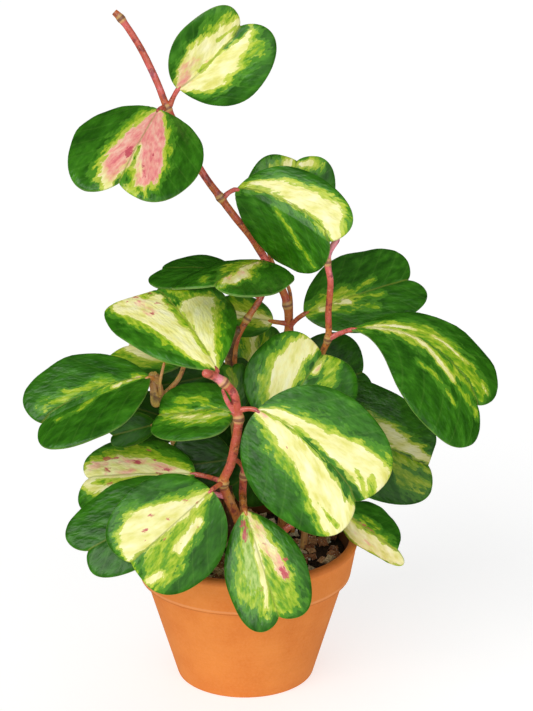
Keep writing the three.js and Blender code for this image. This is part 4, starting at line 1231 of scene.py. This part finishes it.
def stem_skin():
    """Living vine bark: coral and smooth when young, yellow and then brown and bruised when old."""
    vine_bark = substance("vine_bark", IOR=1.5, Specular_IOR_Level=0.9)
    mm = millimetres(vine_bark)
    skin, knot = kept_values(vine_bark, "skin"), kept_values(vine_bark, "knot")
    drift = add(vine_bark, "TexNoise", plug={"Vector": mm, "Scale": 1 / 14, "Detail": 3})
    grain = add(vine_bark, "TexNoise", plug={"Vector": mm, "Scale": 1 / 1.7, "Detail": 3, "Roughness": 0.7})
    patch = add(vine_bark, "TexNoise", plug={"Vector": mm, "Scale": 1 / 5, "Detail": 2})
    wander = add(vine_bark, "MapRange", plug={"Value": drift, "From Min": 0.3, "From Max": 0.7,
                                              "To Min": -0.2, "To Max": 0.2})
    age = add(vine_bark, "Math", operation="ADD", plug={0: skin["Z"], 1: wander})
    ages = ((0, "#553a22"), (0.1, "#80592f"), (0.2, "#e2bd58"), (0.34, "#d9a268"), (0.52, "#cf8038"),
            (0.68, "#c25a3e"), (0.88, "#dd6a64"), (1, "#f295a2"))

    # Flecks, bruises and pale specks, then a pale ring and a dark scar at each node, and the sawn wood.
    look = add(vine_bark, "ValToRGB", stops=ages, plug={"Fac": age})
    look = painted(vine_bark, look, "#84402f", grain, 0.56, 0.72, 0.5, "LINEAR")
    look = painted(vine_bark, look, "#6e2c34", patch, 0.54, 0.62, 0.6)
    look = painted(vine_bark, look, "#e9bd96", grain, 0.42, 0.3, 0.4, "LINEAR")
    look = painted(vine_bark, look, "#e0c274", knot["X"], 0.05, 0.2, 0.55)
    look = painted(vine_bark, look, "#6f3a3c", knot["X"], 0.25, 0.31, 0.75)
    look = add(vine_bark, "MixRGB", plug={"Fac": knot["Z"], "Color1": look, "Color2": linear("#e3c9a4")})
    gloss = add(vine_bark, "MapRange", plug={"Value": age, "To Min": 0.36, "To Max": 0.18})
    relief = add(vine_bark, "Bump", plug={"Height": grain, "Strength": 0.5, "Distance": 0.0004})
    return wire(vine_bark, Base_Color=look, Roughness=gloss, Normal=relief)


def leaf_skin():
    """Waxy succulent leaf: deep green, feathering through lime to cream, with pink and crimson."""
    leaf = substance("waxy_leaf", IOR=1.38, Specular_IOR_Level=0.6)
    grain = add(leaf, "Attribute", "Vector", attribute_name="grain")
    zones, marks, edge = (kept_values(leaf, name) for name in ("zones", "marks", "edge"))

    # Torn patches about 5 mm wide and 8 mm long follow the side veins, and finer ones sit on them.
    torn = {
        "teeth": ((0.12, 0.2, 1), (0, 0, 0), 2, 0.5), "feather": ((0.36, 0.58, 1), (0, 0, 40), 3, 0.65),
        "cloud": ((0.1, 0.16, 1), (7, 3, 90), 2.5, 0.55), "dapple": ((0.18, 0.34, 1), (0, 0, 160), 3, 0.6),
        "pits": ((0.2, 0.36, 1), (0, 0, 0), 1.5, 0.5),
    }
    pattern = {}
    for name, (scale, place, detail, roughness) in torn.items():
        way = add(leaf, "Mapping", plug={"Vector": grain, "Scale": scale, "Location": place})
        pattern[name] = add(leaf, "TexNoise", plug={"Vector": way, "Scale": 1, "Detail": detail,
                                                    "Roughness": roughness})
    big = add(leaf, "MapRange", plug={"Value": pattern["teeth"], "From Min": 0.25, "From Max": 0.75,
                                      "To Min": -3.6, "To Max": 3.6})
    small = add(leaf, "MapRange", plug={"Value": pattern["feather"], "From Min": 0.25, "From Max": 0.75,
                                        "To Min": -2, "To Max": 2})
    ragged = add(leaf, "Math", operation="ADD", plug={0: big, 1: small})
    calmer = add(leaf, "Math", operation="MULTIPLY", plug={0: ragged, 1: 0.62})
    jagged = add(leaf, "Math", operation="MULTIPLY", plug={0: small, 1: 1.3})
    depths = ((zones["X"], ragged), (zones["Y"], calmer), (zones["Z"], ragged), (marks["X"], jagged),
              (marks["Y"], ragged))
    lime, cream, pink, crimson, pale = (add(leaf, "Math", operation="ADD", plug={0: depth, 1: torn_by})
                                        for depth, torn_by in depths)

    # Green: deep at the margin, mid green in ragged patches near the lime, with faint side veins.
    greens = ((0.28, "#1e5203"), (0.48, "#2c6807"), (0.64, "#387a0e"), (0.8, "#4e9020"))
    look = add(leaf, "ValToRGB", stops=greens, plug={"Fac": pattern["cloud"]})
    look = painted(leaf, look, "#55961d", lime, -4.2, -2.4, 0.7)
    vein_wave = add(leaf, "Math", operation="FRACT", plug={0: edge["Z"]})
    vein_gap = add(leaf, "Math", operation="PINGPONG", plug={0: vein_wave, 1: 0.5})
    look = painted(leaf, look, "#6fa03c", vein_gap, 0.07, 0.01, 0.12)

    # Lime, in two shades, then the paler lime of some leaves.
    limes = ((0.36, "#5f9a12"), (0.47, "#86b016"), (0.6, "#a9c22a"), (0.72, "#c3d24a"))
    lime_shade = add(leaf, "ValToRGB", stops=limes, plug={"Fac": pattern["dapple"]})
    look = painted(leaf, look, lime_shade, lime, -0.5, 0.5)
    pales = ((0.36, "#86ad3c"), (0.5, "#a9c765"), (0.66, "#c0d483"))
    pale_shade = add(leaf, "ValToRGB", stops=pales, plug={"Fac": pattern["dapple"]})
    look = painted(leaf, look, pale_shade, pale, -0.5, 0.5, 0.8)
    look = painted(leaf, look, "#cfd850", cream, -2.6, -1.6, 0.6)

    # Cream with lemon streaks. Pink tints it softly, and crimson lies in small sharp blotches.
    creams = ((0.3, "#dfdb72"), (0.42, "#ece893"), (0.56, "#f7f2ae"), (0.72, "#faf6c6"))
    cream_shade = add(leaf, "ValToRGB", stops=creams, plug={"Fac": pattern["cloud"]})
    is_cream = add(leaf, "MapRange", interpolation_type="SMOOTHSTEP",
                   plug={"Value": cream, "From Min": -0.5, "From Max": 0.5})
    look = add(leaf, "MixRGB", plug={"Fac": is_cream, "Color1": look, "Color2": cream_shade})
    is_pink = add(leaf, "MapRange", interpolation_type="SMOOTHSTEP",
                  plug={"Value": pink, "From Min": -1.5, "From Max": 6, "To Max": 0.92})
    pinks = ((0.34, "#f9bfae"), (0.5, "#f49a94"), (0.66, "#e8707f"), (0.8, "#d65470"))
    blush = add(leaf, "ValToRGB", stops=pinks, plug={"Fac": pattern["dapple"]})
    in_cream = add(leaf, "Math", operation="MULTIPLY", plug={0: is_pink, 1: is_cream})
    look = add(leaf, "MixRGB", plug={"Fac": in_cream, "Color1": look, "Color2": blush})
    look = painted(leaf, look, "#c23a55", crimson, -0.5, 1.1, 0.85)

    # The midrib is an olive line, the margin a thin pale one that is partly its own paler rim and partly a
    # painted highlight, and the underside is paler.
    look = painted(leaf, look, "#8a9433", marks["Z"], 0.8, 0.25, 0.45)
    # Painted light and shade: the leaf's colour times its factor, darker in the shade of other leaves,
    # brighter where it faces away from the light.
    painted_light = add(leaf, "Attribute", "Vector", attribute_name="painted_light")
    look = add(leaf, "MixRGB", blend_type="MULTIPLY", plug={"Fac": 1, "Color1": look, "Color2": painted_light})
    # The margin's pale line: partly the leaf's own paler rim, partly a painted highlight where light
    # catches its rounded edge.
    look = painted(leaf, look, "#86a94c", edge["X"], 0.5, 0.2, 0.35)
    below = add(leaf, "Math", operation="MULTIPLY", plug={0: edge["Y"], 1: 0.5})
    look = add(leaf, "MixRGB", plug={"Fac": below, "Color1": look, "Color2": linear("#8aa862")})

    gloss = add(leaf, "MapRange", plug={"Value": pattern["feather"], "To Min": 0.26, "To Max": 0.44})
    relief = add(leaf, "Bump", plug={"Height": pattern["pits"], "Strength": 0.6, "Distance": 0.0012})
    return wire(leaf, Base_Color=look, Roughness=gloss, Normal=relief)


CLAY = clay()
PEAT = peat()
BARK = bark()
PERLITE = perlite()
STEM_SKIN = stem_skin()
LEAF_SKIN = leaf_skin()


# The plant in its pot

blades = [Blade(name.removeprefix("leaf_"), **spec) for name, spec in LEAVES.items()]
for seed, blade in enumerate(blades, 1):
    leaf_blade(blade, MARKINGS[blade.name], seed)
for name, spec in STEMS.items():
    vine(name, spec, blades, *STEM_AGES[name])
clay_pot()
mix_bed()
# Loose bits: how many, from which to which size, how flat they are, and a seed.
scattered("bark_chips", BARK, 165, (2.8, 5.2), slab, ((0.6, 0.95), (0.45, 0.7)), 7)
scattered("mix_crumbs", PEAT, 620, (0.8, 2.0), lump, ((0.6, 1), (0.5, 0.9)), 11)
scattered("perlite_bits", PERLITE, 90, (0.8, 1.7), lump, ((0.7, 1), (0.6, 0.95)), 19)


# Floor, light and camera, in metres

FLOOR_HALF = 15
VIEW_PLACE = (0.0144, -1.230, 0.629)
VIEW_DOWN = 18.15
LENS = 100
SENSOR_WIDTH = 36
SKY_STRENGTH = 0.36
# Each sun has a place, a spread in degrees and a strength, and glossy leaves mirror it or not.
SUNS = {
    "key": ((-1.4, -1.9, 1.5), 46, 1.5, True),
    "front": ((0.7, -2.0, 0.7), 70, 0.75, True),
    "rear": ((0.5, 1.4, 1.9), 60, 0.4, False),
}


def paper_floor():
    """A wide sheet of matte white paper that no glossy leaf mirrors."""
    bm = bmesh.new()
    bmesh.ops.create_grid(bm, x_segments=1, y_segments=1, size=FLOOR_HALF)
    mesh = bpy.data.meshes.new("floor")
    bm.to_mesh(mesh)
    bm.free()
    mesh.materials.append(substance("matte_white_paper", Roughness=0.9, Base_Color=linear("#c4c4c4"),
                                    Emission_Color=linear("#ffffff"), Emission_Strength=0.6))
    plane = bpy.data.objects.new("floor", mesh)
    bpy.context.scene.collection.objects.link(plane)
    plane.visible_glossy = False


def soft_sun(name, place, spread, strength, mirrored):
    """A wide soft light from far away, which falls evenly on the floor."""
    light = bpy.data.lights.new(name, "SUN")
    light.angle = math.radians(spread)
    light.energy = strength
    lamp = bpy.data.objects.new(name, light)
    lamp.location = Vector(place)
    lamp.rotation_euler = (-lamp.location).to_track_quat("-Z", "Y").to_euler()
    lamp.visible_glossy = mirrored
    bpy.context.scene.collection.objects.link(lamp)


def camera():
    """The view of the photo, from a little above the leaves."""
    lens = bpy.data.cameras.new("camera")
    lens.lens = LENS
    lens.sensor_width = SENSOR_WIDTH
    lens.sensor_fit = "AUTO"
    lens.clip_end = 100
    view = bpy.data.objects.new("camera", lens)
    view.location = AXIS + Vector(VIEW_PLACE)
    view.rotation_euler = (math.radians(90 - VIEW_DOWN), 0, 0)
    bpy.context.scene.collection.objects.link(view)
    bpy.context.scene.camera = view


def white_sky():
    """An even white light from all round, which the leaves don't mirror."""
    world = bpy.data.worlds.new("studio")
    world.use_nodes = True
    sky = world.node_tree.nodes["Background"]
    sky.inputs["Color"].default_value = (1, 1, 1, 1)
    sky.inputs["Strength"].default_value = SKY_STRENGTH
    world.cycles_visibility.glossy = False
    bpy.context.scene.world = world


paper_floor()
camera()
for name, sun in SUNS.items():
    soft_sun(name, *sun)
white_sky()
bpy.context.scene.view_settings.view_transform = "Standard"
